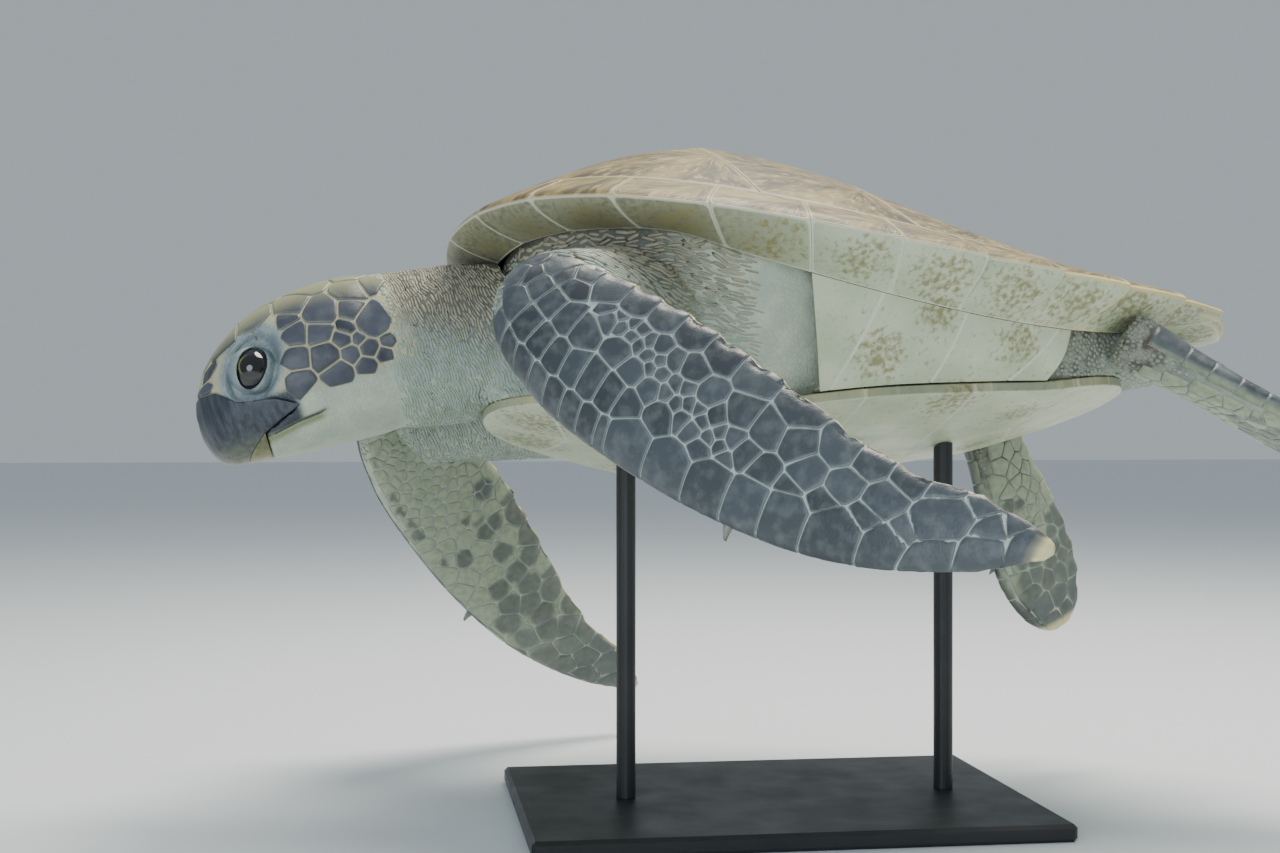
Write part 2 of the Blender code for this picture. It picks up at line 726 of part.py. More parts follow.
def make_limbs(parent, skin, horn, guides):
    for word, side in (("left", 1), ("right", -1)):
        for kind, rows, poses, count, claw_at, size in (
            ("front", FRONT_ROWS, FRONT_POSES, 18, (0.232, -0.083, 0.0), 0.014),
            ("hind", HIND_ROWS, HIND_POSES, 12, (0.100, -0.046, 0.0), 0.010),
        ):
            place, angles = poses[word]
            angles = [math.radians(a) for a in angles]
            limb = add_object(f"{kind}_flipper_{word}", limb_blade(rows, count, side), skin, parent)
            around = swollen_guide(f"{limb.name}_guide", limb_blade(rows, count, side), GAP,
                                   parent, skin)
            claw = make_claw(f"{kind}_claw_{word}", claw_at, side, size, parent, horn)
            for piece in (limb, around, claw):
                piece.location = place
                piece.rotation_euler = angles
            if kind == "front":
                arm = make_arm(f"arm_{word}", *ARMS[word], parent, skin)
                boolean(limb, arm, "UNION")
            for guide in guides:
                boolean(limb, guide)
            boolean(claw, around)


# ---- tail -----------------------------------------------------------------------------------
TAIL_ROWS = [  # x, z, half width, half height
    (0.500, 0.062, 0.050, 0.034),
    (0.560, 0.056, 0.040, 0.027),
    (0.610, 0.052, 0.026, 0.018),
    (0.645, 0.048, 0.014, 0.010),
    (0.668, 0.045, 0.004, 0.003),
]


def make_tail(parent, material, guides):
    rings = [
        section_ring(Vector((x, 0, z)), Vector((0, 1, 0)), Vector((0, 0, 1)),
                     half_width, half_height, -half_height, 2.0, 12)
        for x, z, half_width, half_height in smooth_table(TAIL_ROWS, 7)
    ]
    tail = add_object("tail", loft(rings), material, parent)
    for guide in guides:
        boolean(tail, guide)


# ---- display stand --------------------------------------------------------------------------
BASE_AT, BASE_SIZE, BASE_THICK = (0.0, 0.045), (0.42, 0.30), 0.014
ROD_RADIUS = 0.008
ROD_PLACES = {"stand_rod_front": (-0.12, 0.045), "stand_rod_rear": (0.15, 0.045)}
ROD_TOP = 0.34


def make_stand(metal, body_guide):
    bm = bmesh.new()
    bmesh.ops.create_cube(bm, size=1.0)
    bmesh.ops.scale(bm, verts=bm.verts[:], vec=(*BASE_SIZE, BASE_THICK))
    base = add_object("stand_base", bm, metal, smooth=False)
    base.location = (*BASE_AT, BASE_THICK / 2)
    edges = base.modifiers.new("Edges", "BEVEL")
    edges.width = 0.003
    edges.segments = 1
    for name, (x, y) in ROD_PLACES.items():
        bm = bmesh.new()
        height = ROD_TOP - BASE_THICK - GAP
        bmesh.ops.create_cone(bm, cap_ends=True, segments=20, radius1=ROD_RADIUS,
                              radius2=ROD_RADIUS, depth=height)
        rod = add_object(name, bm, metal)
        rod.location = (x, y, BASE_THICK + GAP + height / 2)
        boolean(rod, body_guide)


def main():
    clear_scene()
    slate = finish("slate plates", (0.115, 0.135, 0.150), 0.45)
    cream = finish("cream underside", (0.62, 0.60, 0.44), 0.50)
    skin = finish("scaly skin", (0.20, 0.23, 0.24), 0.60)
    horn = finish("dark beak horn", (0.06, 0.075, 0.09), 0.40)
    eye = finish("wet dark eye", (0.012, 0.012, 0.012), 0.08)
    metal = finish("satin black steel", (0.03, 0.03, 0.032), 0.45, 1.0)

    axes = bpy.data.objects.new("body_axes", None)
    bpy.context.collection.objects.link(axes)
    axes.location = TURTLE_AT
    axes.rotation_euler = (BANK, NOSE_DOWN, 0.0)

    make_rim(axes, slate)
    make_vertebrals(axes, slate)
    make_costals(axes, slate)
    make_plastron(axes, cream)
    make_bridges(axes, cream)
    make_trunk(axes, skin)
    guides = make_body_guides(axes, skin)
    neck_guide = make_neck(axes, skin, guides)
    make_head(axes, skin, horn, eye)
    make_limbs(axes, skin, horn, [*guides, neck_guide])
    make_tail(axes, skin, guides)
    make_stand(metal, guides[0])


main()
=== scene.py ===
# A half-grown green sea turtle, Chelonia mydas, swimming nose down and banked to its right,
# as a life-size museum model on a black steel stand. Head towards -X, left side towards -Y.
import random as chance
from math import atan2, cos, degrees, exp, hypot, pi, radians, sin, sqrt

import bmesh
import bpy
import numpy as np
from mathutils import Euler, Matrix, Vector, noise
from mathutils.bvhtree import BVHTree
from mathutils.kdtree import KDTree


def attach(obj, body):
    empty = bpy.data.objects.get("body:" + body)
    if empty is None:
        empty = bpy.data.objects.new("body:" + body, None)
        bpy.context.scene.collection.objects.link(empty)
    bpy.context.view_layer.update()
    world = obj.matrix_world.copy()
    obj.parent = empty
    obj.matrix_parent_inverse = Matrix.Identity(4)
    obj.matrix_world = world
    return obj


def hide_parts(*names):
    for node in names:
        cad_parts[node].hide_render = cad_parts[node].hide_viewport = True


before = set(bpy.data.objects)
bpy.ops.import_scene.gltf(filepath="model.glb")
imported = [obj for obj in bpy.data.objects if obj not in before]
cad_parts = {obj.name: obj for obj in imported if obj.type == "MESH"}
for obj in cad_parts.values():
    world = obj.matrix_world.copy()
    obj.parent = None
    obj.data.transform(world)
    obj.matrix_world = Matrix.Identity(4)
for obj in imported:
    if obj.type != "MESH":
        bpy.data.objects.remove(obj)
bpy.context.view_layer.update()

# ---- the room --------------------------------------------------------------------------
# A plain pale floor with soft studio light: one broad lamp overhead for the sky, a smaller
# one low in front, and a camera at the turtle's own height, square to its left side.


def linear(hex_colour, alpha=1.0):
    """An sRGB hex value as linear light."""
    parts = [int(hex_colour[i:i + 2], 16) / 255 for i in (1, 3, 5)]
    return tuple(c / 12.92 if c <= 0.04045 else ((c + 0.055) / 1.055) ** 2.4
                 for c in parts) + (alpha,)


def add(tree, kind, values=None, **links):
    """A node of that kind. values sets properties and sockets, links joins its inputs."""
    made = tree.nodes.new("ShaderNode" + kind)
    for name, value in (values or {}).items():
        if isinstance(name, str) and hasattr(made, name):
            setattr(made, name, value)
        else:
            made.inputs[name].default_value = value
    for name, source in links.items():
        key = int(name[1:]) if name[0] == "i" and name[1:].isdigit() else name.replace("_", " ")
        tree.links.new(source, made.inputs[key])
    return made


def material(name, **values):
    """A new Principled material and its tree and shader."""
    made = bpy.data.materials.new(name)
    made.use_nodes = True
    shader = made.node_tree.nodes["Principled BSDF"]
    for key, value in values.items():
        shader.inputs[key.replace("_", " ")].default_value = value
    return made, made.node_tree, shader


def mesh_piece(name, bm, finish, smooth=True):
    """An object at the origin from a bmesh, in the finish given."""
    data = bpy.data.meshes.new(name)
    bm.to_mesh(data)
    bm.free()
    made = bpy.data.objects.new(name, data)
    bpy.context.collection.objects.link(made)
    if finish:
        data.materials.append(finish)
    data.shade_smooth() if smooth else data.shade_flat()
    return made


FLOOR_SIZE = 30.0
bm = bmesh.new()
bmesh.ops.create_grid(bm, x_segments=1, y_segments=1, size=FLOOR_SIZE / 2)
floor_paint, _, _ = material("pale matt floor paint", Base_Color=linear("#dfe5e8"), Roughness=0.9)
floor = mesh_piece("floor", bm, floor_paint, smooth=False)

world = bpy.data.worlds.new("studio")
bpy.context.scene.world = world
world.use_nodes = True
sky = world.node_tree.nodes["Background"].inputs
sky["Color"].default_value, sky["Strength"].default_value = linear("#dbe6ee"), 0.55


def lamp(name, at, towards, size, watts, colour):
    """A round soft lamp at a place, turned to another."""
    light = bpy.data.lights.new(name, "AREA")
    light.shape, light.size, light.energy = "DISK", size, watts
    light.color = linear(colour)[:3]
    holder = bpy.data.objects.new(name, light)
    bpy.context.collection.objects.link(holder)
    holder.location = at
    holder.rotation_euler = (Vector(towards) - Vector(at)).to_track_quat("-Z", "Y").to_euler()


lamp("overhead", (0.5, 0.5, 2.6), (0, 0, 0.35), 1.6, 105, "#fff8ea")
lamp("front_fill", (-1.2, -2.6, 0.9), (0, 0, 0.3), 1.8, 36, "#eaf4ff")

camera = bpy.data.cameras.new("camera")
camera.sensor_width, camera.lens = 36.0, 50.7
viewer = bpy.data.objects.new("camera", camera)
bpy.context.collection.objects.link(viewer)
viewer.location = (-0.320, -1.424, 0.319)
viewer.rotation_euler = (radians(90), 0, radians(-8.2))
bpy.context.scene.camera = viewer

# ---- the skin --------------------------------------------------------------------------
# One hide over the trunk, neck, head, flippers and tail. It is leathery and scaled, drawn
# into close folds at the neck and shoulders and into lids round the eyes.

body = Matrix.Translation((-0.2545, 0.0472, 0.282)) @ Euler(
    (radians(-13.5), radians(-3.8), 0)).to_matrix().to_4x4()
head = body @ Matrix.Translation((-0.055, 0, 0.105)) @ Matrix.Rotation(radians(-12), 4, "Y")
EYE_RADIUS = 0.0195
EYE_AT = {"left": Vector((-0.106, -0.030, 0.004)), "right": Vector((-0.106, 0.030, 0.004))}
FLESH = ("trunk", "neck", "head", "front_flipper_left", "front_flipper_right",
         "hind_flipper_left", "hind_flipper_right", "tail")
SKIN_STEP = 0.0026      # spacing of the skin's mesh, halved where it folds
ROOT_SUNK = 0.004       # how far a root reaches into the flesh it grows from


def solid_copy(name):
    """A CAD solid's mesh with its corners merged and its flat quads put back together."""
    bm = bmesh.new()
    bm.from_mesh(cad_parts[name].data)
    bmesh.ops.remove_doubles(bm, verts=bm.verts, dist=0.00001)
    bmesh.ops.join_triangles(bm, faces=bm.faces, angle_face_threshold=radians(30),
                             angle_shape_threshold=radians(50))
    return bm


def hold_edges(bm, angle):
    """Creases the edges sharper than angle, so that subdivision keeps them."""
    crease = bm.edges.layers.float.new("crease_edge")
    for edge in bm.edges:
        if not edge.is_manifold or edge.calc_face_angle() > angle:
            edge[crease] = 1.0


def hold_corners(bm, turn):
    """Holds the points where a creased outline turns more than that, at plates' corners."""
    crease = bm.edges.layers.float["crease_edge"]
    held = bm.verts.layers.float.new("crease_vert")
    for vert in bm.verts:
        lines = [e for e in vert.link_edges if e[crease] > 0.5]
        if len(lines) == 2:
            a, b = ((e.other_vert(vert).co - vert.co).normalized() for e in lines)
            if pi - a.angle(b) > turn:
                vert[held] = 1.0


def applied(made, **settings):
    """Adds one modifier with its settings and makes its result the mesh."""
    kind = settings.pop("type")
    modifier = made.modifiers.new(kind.lower(), kind)
    for key, value in settings.items():
        setattr(modifier, key, value)
    result = bpy.data.meshes.new_from_object(
        made.evaluated_get(bpy.context.evaluated_depsgraph_get()))
    made.modifiers.clear()
    old, made.data = made.data, result
    bpy.data.meshes.remove(old)
    return made


def step(low, high, value):
    """A smooth rise from 0 at low to 1 at high."""
    share = np.clip((value - low) / (high - low), 0, 1)
    return share * share * (3 - 2 * share)


def fall(low, high, value):
    """1 at low, falling smoothly to 0 at high."""
    return 1 - step(low, high, value)


def limb_axes(at, turns):
    """A flipper's own axes: X out along it, Z out of its upper face, the left one's trailing
    edge towards Y and the right one's towards -Y."""
    return body @ Matrix.Translation(at) @ Euler([radians(t) for t in turns]).to_matrix().to_4x4()


LIMBS = {"front_flipper_left": limb_axes((0.058, -0.231, 0.089), (81, 36.6, -41.9)),
         "front_flipper_right": limb_axes((-0.036, 0.178, 0.115), (-42, 37.5, 50.0)),
         "hind_flipper_left": limb_axes((0.572, -0.105, 0.020), (0, 36, -8)),
         "hind_flipper_right": limb_axes((0.504, 0.145, 0.016), (-61, 64, 48))}
# along a flipper: its middle's height, how far it reaches ahead and behind, half thickness
FRONT_ROWS = np.array([
    (-0.024, -0.003, -0.032, 0.000, 0.0090), (-0.001, -0.001, -0.060, 0.017, 0.0260),
    (0.022, 0.000, -0.072, 0.021, 0.0260), (0.052, 0.001, -0.080, 0.024, 0.0230),
    (0.085, 0.002, -0.086, 0.026, 0.0200), (0.130, 0.002, -0.089, 0.026, 0.0170),
    (0.180, 0.001, -0.090, 0.020, 0.0145), (0.230, 0.000, -0.087, 0.014, 0.0120),
    (0.285, -0.002, -0.079, 0.004, 0.0095), (0.335, -0.004, -0.063, 0.004, 0.0075),
    (0.380, -0.007, -0.041, 0.012, 0.0055), (0.408, -0.009, -0.020, 0.008, 0.0042),
    (0.424, -0.010, -0.006, 0.003, 0.0030)])
HIND_ROWS = np.array([
    (-0.052, 0.002, -0.033, 0.031, 0.0240), (-0.024, 0.001, -0.034, 0.032, 0.0220),
    (0.010, 0.001, -0.036, 0.034, 0.0170), (0.050, 0.000, -0.044, 0.044, 0.0120),
    (0.095, 0.000, -0.050, 0.052, 0.0090), (0.135, -0.001, -0.046, 0.050, 0.0065),
    (0.165, -0.002, -0.032, 0.038, 0.0048), (0.182, -0.003, -0.012, 0.016, 0.0032)])
# where the big scales on the trailing edge end in a point, along each kind of flipper
FRONT_POINTS = (0.030, 0.055, 0.080, 0.105, 0.130, 0.156, 0.186, 0.213, 0.264, 0.322, 0.381,
                0.410)
HIND_POINTS = (0.020, 0.045, 0.070, 0.095, 0.120, 0.145, 0.168)
NOTCH = 0.0042          # how far the edge steps back after each point


def rows_of(limb):
    return FRONT_ROWS if limb.startswith("front") else HIND_ROWS


def edges_at(rows, along):
    """How far a flipper's leading and trailing edges reach at a place along it."""
    return [np.interp(along, rows[:, 0], rows[:, k]) for k in (2, 3)]


def notched(limb, along):
    """How far the trailing edge is cut back there, in metres."""
    tips = FRONT_POINTS if limb.startswith("front") else HIND_POINTS
    if not tips[0] < along < tips[-1]:
        return 0.0
    last = max(t for t in tips if t <= along)
    following = min(t for t in tips if t > along)
    deep = NOTCH + 0.0030 * float(step(0.06, 0.10, along) * fall(0.19, 0.24, along))
    return deep * (1 - (along - last) / (following - last)) ** 1.6


trunk_tree = BVHTree.FromBMesh(solid_copy("trunk"))
neck_tree = BVHTree.FromBMesh(solid_copy("neck"))
flesh = bmesh.new()
for part in FLESH:
    bm = solid_copy(part)
    for owner, tree in (("trunk", trunk_tree), ("neck", neck_tree)):
        if part == "trunk" or part == owner:
            continue
        for vert in bm.verts:
            near_by, normal, _, gap = tree.find_nearest(vert.co)
            if gap < 0.0012:
                vert.co = near_by - normal * ROOT_SUNK
    hold_edges(bm, radians(48))
    soft = applied(mesh_piece(part + "_soft", bm, None), type="SUBSURF", levels=2, render_levels=2)
    if part in LIMBS:
        side = 1 if part.endswith("left") else -1
        to_own, back = LIMBS[part].inverted(), LIMBS[part]
        for vert in soft.data.vertices:
            spot = to_own @ vert.co
            lead, trail = edges_at(rows_of(part), spot.x)
            share = (side * spot.y - lead) / (trail - lead)
            if spot.x > 0.02 and share > 0.7:
                spot.y -= side * notched(part, spot.x) * min((share - 0.7) / 0.28, 1) ** 2
                vert.co = back @ spot
    flesh.from_mesh(soft.data)
    bpy.data.objects.remove(soft)
for side in EYE_AT:
    ball = bmesh.ops.create_icosphere(flesh, subdivisions=4, radius=EYE_RADIUS + 0.0006)
    bmesh.ops.transform(flesh, matrix=head @ Matrix.Translation(EYE_AT[side]), verts=ball["verts"])
    # flesh that fills the hollow where the throat meets the breast
    pad = bmesh.ops.create_icosphere(flesh, subdivisions=3, radius=0.017)
    place = Matrix.Translation((0.036, -0.043 if side == "left" else 0.043, 0.070))
    bmesh.ops.transform(flesh, matrix=body @ place, verts=pad["verts"])
skin = applied(mesh_piece("skin", flesh, None), type="REMESH", mode="VOXEL",
               voxel_size=SKIN_STEP)


def spots(made):
    """The mesh's points, one row each."""
    values = np.empty(len(made.data.vertices) * 3, np.float32)
    made.data.vertices.foreach_get("co", values)
    return values.reshape(-1, 3).astype(float)


def put_spots(made, values):
    made.data.vertices.foreach_set("co", values.astype(np.float32).ravel())
    made.data.update()


def seen_from(place, values):
    """Points in the axes of place."""
    turned = np.array(place.inverted())
    return values @ turned[:3, :3].T + turned[:3, 3]


def back_from(place, values):
    turned = np.array(place)
    return values @ turned[:3, :3].T + turned[:3, 3]


def edges_of(made):
    values = np.empty(len(made.data.edges) * 2, np.int32)
    made.data.edges.foreach_get("vertices", values)
    return values.reshape(-1, 2)


def relax(values, pairs, weight, times):
    """Draws each point towards the middle of its neighbours, as far as its weight says."""
    count = len(values)
    beside = np.bincount(pairs.ravel(), minlength=count)[:, None]
    for _ in range(times):
        middle = np.stack([
            np.bincount(pairs[:, 0], values[pairs[:, 1], k], count)
            + np.bincount(pairs[:, 1], values[pairs[:, 0], k], count)
            for k in range(3)], axis=1) / np.maximum(beside, 1)
        values = values + (middle - values) * weight[:, None]
    return values


def near(values, centre, reach):
    """1 at the centre, falling to 0 at reach."""
    return fall(0, reach, np.linalg.norm(values - np.array(centre), axis=1))


# The flesh inside the shell's middle is never seen: it is a plain tube between two cuts.
HIDDEN_FROM, HIDDEN_TO = 0.235, 0.440
bm = bmesh.new()
bm.from_mesh(skin.data)
bmesh.ops.transform(bm, matrix=body.inverted(), verts=bm.verts)
own_trunk = bmesh.new()
own_trunk.from_mesh(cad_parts["trunk"].data)
bmesh.ops.transform(own_trunk, matrix=body.inverted(), verts=own_trunk.verts)
own_tree = BVHTree.FromBMesh(own_trunk)
own_trunk.free()
inner = [f for f in bm.faces
         if HIDDEN_FROM - 0.02 < f.calc_center_median().x < HIDDEN_TO + 0.02
         and own_tree.find_nearest(f.calc_center_median())[3] < 0.006]
for at in (HIDDEN_FROM, HIDDEN_TO):
    kept = [f for f in inner if f.is_valid]
    geometry = list({v for f in kept for v in f.verts}) + list({e for f in kept for e in f.edges})
    cut = bmesh.ops.bisect_plane(bm, geom=geometry + kept, dist=0.00001,
                                 plane_co=(at, 0, 0), plane_no=(1, 0, 0))
    inner = [g for g in cut["geom"] if isinstance(g, bmesh.types.BMFace)]
gone = [f for f in inner if HIDDEN_FROM < f.calc_center_median().x < HIDDEN_TO]
bmesh.ops.delete(bm, geom=gone, context="FACES")
bmesh.ops.bridge_loops(bm, edges=[e for e in bm.edges if e.is_boundary])
bmesh.ops.transform(bm, matrix=body, verts=bm.verts)
bm.to_mesh(skin.data)
bm.free()

# The roots of the neck, flippers and tail run into the body without an edge.
ROOTS = [((0.085, -0.185, 0.085), 0.105), ((0.060, 0.175, 0.100), 0.115),
         ((0.085, 0.0, 0.100), 0.150), ((-0.055, 0.0, 0.105), 0.085),
         ((0.560, -0.100, 0.020), 0.075), ((0.500, 0.130, 0.025), 0.075),
         ((0.585, 0.0, 0.010), 0.070), ((0.027, -0.043, 0.058), 0.060),
         ((0.027, 0.043, 0.058), 0.060)]
pairs = edges_of(skin)
points = spots(skin)
points = relax(points, pairs, np.full(len(points), 0.5), 4)
own = seen_from(body, points)
weight = np.max([near(own, centre, reach) for centre, reach in ROOTS], axis=0)
# but the flanks stay down on the belly plate, and close onto its edge
belly_tree = BVHTree.FromBMesh(solid_copy("plastron"))
close_by = np.flatnonzero((own[:, 0] > 0.02) & (own[:, 2] < 0.09))
belly_gap = np.full(len(points), 0.03)
belly_gap[close_by] = [belly_tree.find_nearest(Vector(points[i]), 0.03)[3] or 0.03
                       for i in close_by]
points = relax(points, pairs, 0.6 * weight * step(0.003, 0.013, belly_gap), 45)
LIGHT_GAP = 0.0006      # what is left between the flank and the plate's edge
for i in close_by:
    spot, _, _, gap = belly_tree.find_nearest(Vector(points[i]), 0.014)
    if spot is not None and gap > LIGHT_GAP:
        pull = 1 - LIGHT_GAP / gap
        points[i] += (np.array(spot) - points[i]) * pull * fall(0.006, 0.014, gap)
put_spots(skin, points)


def finer(made, chosen):
    """Halves the mesh's spacing round the chosen points."""
    bm = bmesh.new()
    bm.from_mesh(made.data)
    bm.verts.ensure_lookup_table()
    edges = [e for e in bm.edges if chosen[e.verts[0].index] and chosen[e.verts[1].index]]
    bmesh.ops.subdivide_edges(bm, edges=edges, cuts=1, use_grid_fill=True)
    bm.to_mesh(made.data)
    bm.free()


def tree_of(names):
    """Several CAD solids' surfaces, to measure distances to."""
    bm = bmesh.new()
    for name in names:
        bm.from_mesh(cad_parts[name].data)
    tree = BVHTree.FromBMesh(bm)
    bm.free()
    return tree


RIM_PLATES = ("marginal", "nuchal", "supracaudal")
shell_names = [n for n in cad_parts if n.startswith(RIM_PLATES + ("costal", "vertebral"))]
rim_tree = tree_of([n for n in shell_names if n.startswith(RIM_PLATES)])
plate_tree = tree_of(shell_names + ["plastron", "bridge_left", "bridge_right"])


def gap_to(tree, values, chosen, limit=0.2):
    """The distance from each chosen point to a surface."""
    found = np.full(len(values), limit)
    for i in np.flatnonzero(chosen):
        hit = tree.find_nearest(Vector(values[i]), limit)
        if hit[0] is not None:
            found[i] = hit[3]
    return found


def on_blade(values):
    """True where a point lies on a flipper and not on its root."""
    found = np.zeros(len(values), bool)
    for limb, place in LIMBS.items():
        own_spot = seen_from(place, values)
        across = own_spot[:, 1] * (1 if limb.endswith("left") else -1)
        lead, trail = edges_at(rows_of(limb), own_spot[:, 0])
        start = 0.028 if limb.startswith("front") else 0.010
        found |= ((own_spot[:, 0] > start) & (np.abs(own_spot[:, 2]) < 0.034)
                  & (across > lead - 0.01) & (across < trail + 0.012))
    return found


def under_plates(values, facing, chosen):
    """True where a shell plate lies close over the skin."""
    found = np.zeros(len(values), bool)
    for i in np.flatnonzero(chosen):
        spot, out = Vector(values[i]), Vector(facing[i])
        found[i] = plate_tree.ray_cast(spot - out * 0.002, out, 0.014)[0] is not None
    return found


def normals_of(made):
    values = np.empty(len(made.data.vertices) * 3, np.float32)
    made.data.vertices.foreach_get("normal", values)
    return values.reshape(-1, 3).astype(float)


# Skin that plates or flipper scales cover needs little mesh, the eyes and snout more.
blade = on_blade(points)
hidden = under_plates(points, normals_of(skin), ~blade)
spare = skin.vertex_groups.new(name="spare")
spare.add([int(i) for i in np.flatnonzero(hidden | blade)], 1.0, "REPLACE")
applied(skin, type="DECIMATE", ratio=0.40, vertex_group="spare", vertex_group_factor=1.0)
for reach in (0.036, 0.028):
    own = seen_from(head, spots(skin))
    close_up = np.linalg.norm(own - np.array((-0.154, 0, -0.006)), axis=1) < 0.6 * reach
    close_up |= ((np.hypot(own[:, 0] + 0.082, own[:, 2] + 0.044) < 0.62 * reach)
                 & (np.abs(own[:, 1]) > 0.02))
    for side in EYE_AT:
        close_up |= np.linalg.norm(own - np.array(EYE_AT[side]), axis=1) < reach
    finer(skin, close_up)
points, pairs = spots(skin), edges_of(skin)


def wander(values, scale, seed):
    """Soft noise from -1 to 1, one value a point, at the size given in metres."""
    shift = Vector((seed * 7.1, seed * 3.7, seed * 5.3))
    return np.array([noise.noise(Vector(p) / scale + shift) for p in values])


def waves(own, chosen):
    """How far the folds stray from straight rows at the chosen points."""
    found = np.zeros(len(own))
    found[chosen] = wander(own[chosen], 0.022, 1) + 0.5 * wander(own[chosen], 0.009, 2)
    return found


# The eyelids: two thick lids meet in an upright almond round the eye, with a fold round them.
EYE_LEAN = radians(27)              # the opening leans back at the top
OPENING = (0.0116, 0.0176)          # half its width and height
LID_THICK = 0.0024


def eye_axes(side):
    """The eye's own axes: X back across the opening, Y out of the head, Z up along it."""
    turn = Matrix.Rotation(EYE_LEAN, 4, "Y")
    return head @ Matrix.Translation(EYE_AT[side]) @ turn


def oval(across, up):
    return np.hypot(across / OPENING[0], up / OPENING[1])


for side, out in (("left", -1), ("right", 1)):
    own = seen_from(eye_axes(side), points)
    across, high, up = own[:, 0], own[:, 1] * out, own[:, 2]
    chosen = (np.hypot(across, up) < 0.045) & (high > -0.012)
    ring = oval(across, up)
    ball = np.sqrt(np.clip(EYE_RADIUS ** 2 - across ** 2 - up ** 2, 0, None))
    rolled = np.sqrt(np.clip(1 - ((ring - 1.16) / 0.22) ** 2, 0, 1))
    lid = ball + LID_THICK * np.where(ring < 1.16, 0.25 + 0.75 * rolled, 1)
    lid -= 0.0009 * np.exp(-((ring - 1.50) / 0.05) ** 2)
    join = fall(1.42, 1.98, ring)
    moved = high + (lid - high) * join
    moved = np.where(ring < 1.985, np.maximum(moved, np.minimum(lid, high + 0.004)), moved)
    crease = np.exp(-((ring - 1.93 - 0.05 * np.sin(5 * np.arctan2(up, across))) / 0.055) ** 2)
    behind = step(-0.5, 0.6, np.cos(np.arctan2(up, across) - radians(70)))
    moved -= 0.0015 * crease
    for at, deep in ((2.14, 0.0008), (2.30, 0.0006), (2.47, 0.0004)):
        moved -= deep * behind * np.exp(-((ring - at) / 0.045) ** 2)
    moved = np.where(ring < 0.985, -0.004, moved)
    own[:, 1] = np.where(chosen, moved, high) * out
    edge = chosen & (ring > 0.90) & (ring < 1.07)
    onto = np.where(ring < 0.985, 0.985, 1.0)[edge] / ring[edge]
    own[edge, 0] *= onto
    own[edge, 2] *= onto
    points = np.where(chosen[:, None], back_from(eye_axes(side), own), points)
put_spots(skin, points)
soft = np.zeros(len(points))
for side in EYE_AT:
    own = seen_from(eye_axes(side), points)
    ring = oval(own[:, 0], own[:, 2])
    soft = np.maximum(soft, 0.35 * (ring > 1.02) * (ring < 2.8) * (np.abs(own[:, 1]) < 0.03))
points = relax(points, pairs, soft, 2)

# The nostrils: two small pits high on the snout.
for out in (-1, 1):
    own = seen_from(head, points)
    pit = near(own, (-0.1525, out * 0.0125, -0.003), 0.0042)
    own[:, 0] += 0.0040 * pit
    points = back_from(head, own)

# The mouth: a thin groove that runs on behind the beak and turns up a little at its corner.
MOUTH = np.array(((-0.104, -0.0499), (-0.081, -0.0465), (-0.064, -0.0450), (-0.058, -0.0435)))


def above_mouth(skull):
    """How far a point of the head is above the mouth's line, seen from the side."""
    return skull[:, 2] - np.interp(skull[:, 0], MOUTH[:, 0], MOUTH[:, 1])


own = seen_from(head, points)
off = above_mouth(own)
along_mouth = step(-0.108, -0.100, own[:, 0]) * fall(-0.066, -0.058, own[:, 0])
inward = np.sign(own[:, 1]) * along_mouth * (np.abs(own[:, 1]) > 0.02)
own[:, 1] -= inward * (0.0016 * np.exp(-(off / 0.0012) ** 2)
                       - 0.0007 * np.exp(-((off + 0.0034) / 0.0018) ** 2))
points = back_from(head, own)

# The folds: rows across the neck, and rows beside the shell's edge in the arm pockets.
FOLDED = [((-0.020, 0.0, 0.105), 0.120), ((0.090, -0.185, 0.095), 0.120),
          ((0.070, 0.175, 0.105), 0.110)]
NECK_FOLD, POCKET_FOLD = 0.0105, 0.0120     # spacing of the rows
put_spots(skin, points)
facing = normals_of(skin)
own = seen_from(body, points)
folding = np.max([fall(reach - 0.012, reach, np.linalg.norm(own - np.array(centre), axis=1))
                  for centre, reach in FOLDED], axis=0)
in_zone = folding > 0
wave = waves(own, in_zone)
rim_gap = gap_to(rim_tree, points, in_zone, 0.16)
skull = seen_from(head, points)


def neck_share(own, skull):
    """1 on the neck, from the nape back to the shell."""
    share = step(-0.062, -0.040, own[:, 0]) * fall(0.055, 0.110, own[:, 0])
    return share * step(-0.002, 0.012, skull[:, 0])


def upper_share(own):
    return step(0.075, 0.125, own[:, 2] + 0.25 * own[:, 0])


def pocket_share(own, rim_gap):
    """1 in the pockets that the arms fold back into, next to the shell's edge."""
    return (step(0.015, 0.070, own[:, 0]) * step(0.05, 0.09, np.abs(own[:, 1]))
            * fall(0.055, 0.110, rim_gap))


on_neck, under, in_pocket = neck_share(own, skull), upper_share(own), pocket_share(own, rim_gap)
neck_lie = own[:, 0] + 0.38 * own[:, 2] + 0.0042 * wave
pocket_lie = rim_gap + 0.0045 * wave


def rows(along, spacing):
    """Rounded ridges with narrow gaps between them, 1 on a ridge and 0 in a gap."""
    return np.abs(np.sin(pi * along / spacing)) ** 0.55


ridge = (on_neck * (0.35 + 0.65 * under) * (rows(neck_lie, NECK_FOLD) - 0.7) * 0.0014
         + (1 - on_neck * 0.6) * in_pocket * (rows(pocket_lie, POCKET_FOLD) - 0.7) * 0.0020)
points = points + facing * (ridge * folding)[:, None]
put_spots(skin, points)


def keep(made, name, values):
    """Keeps one number or one vector a point with the mesh, for its material."""
    kind = "FLOAT" if values.ndim == 1 else "FLOAT_VECTOR"
    layer = made.data.attributes.new(name, kind, "POINT")
    layer.data.foreach_set("value" if kind == "FLOAT" else "vector",
                           values.astype(np.float32).ravel())


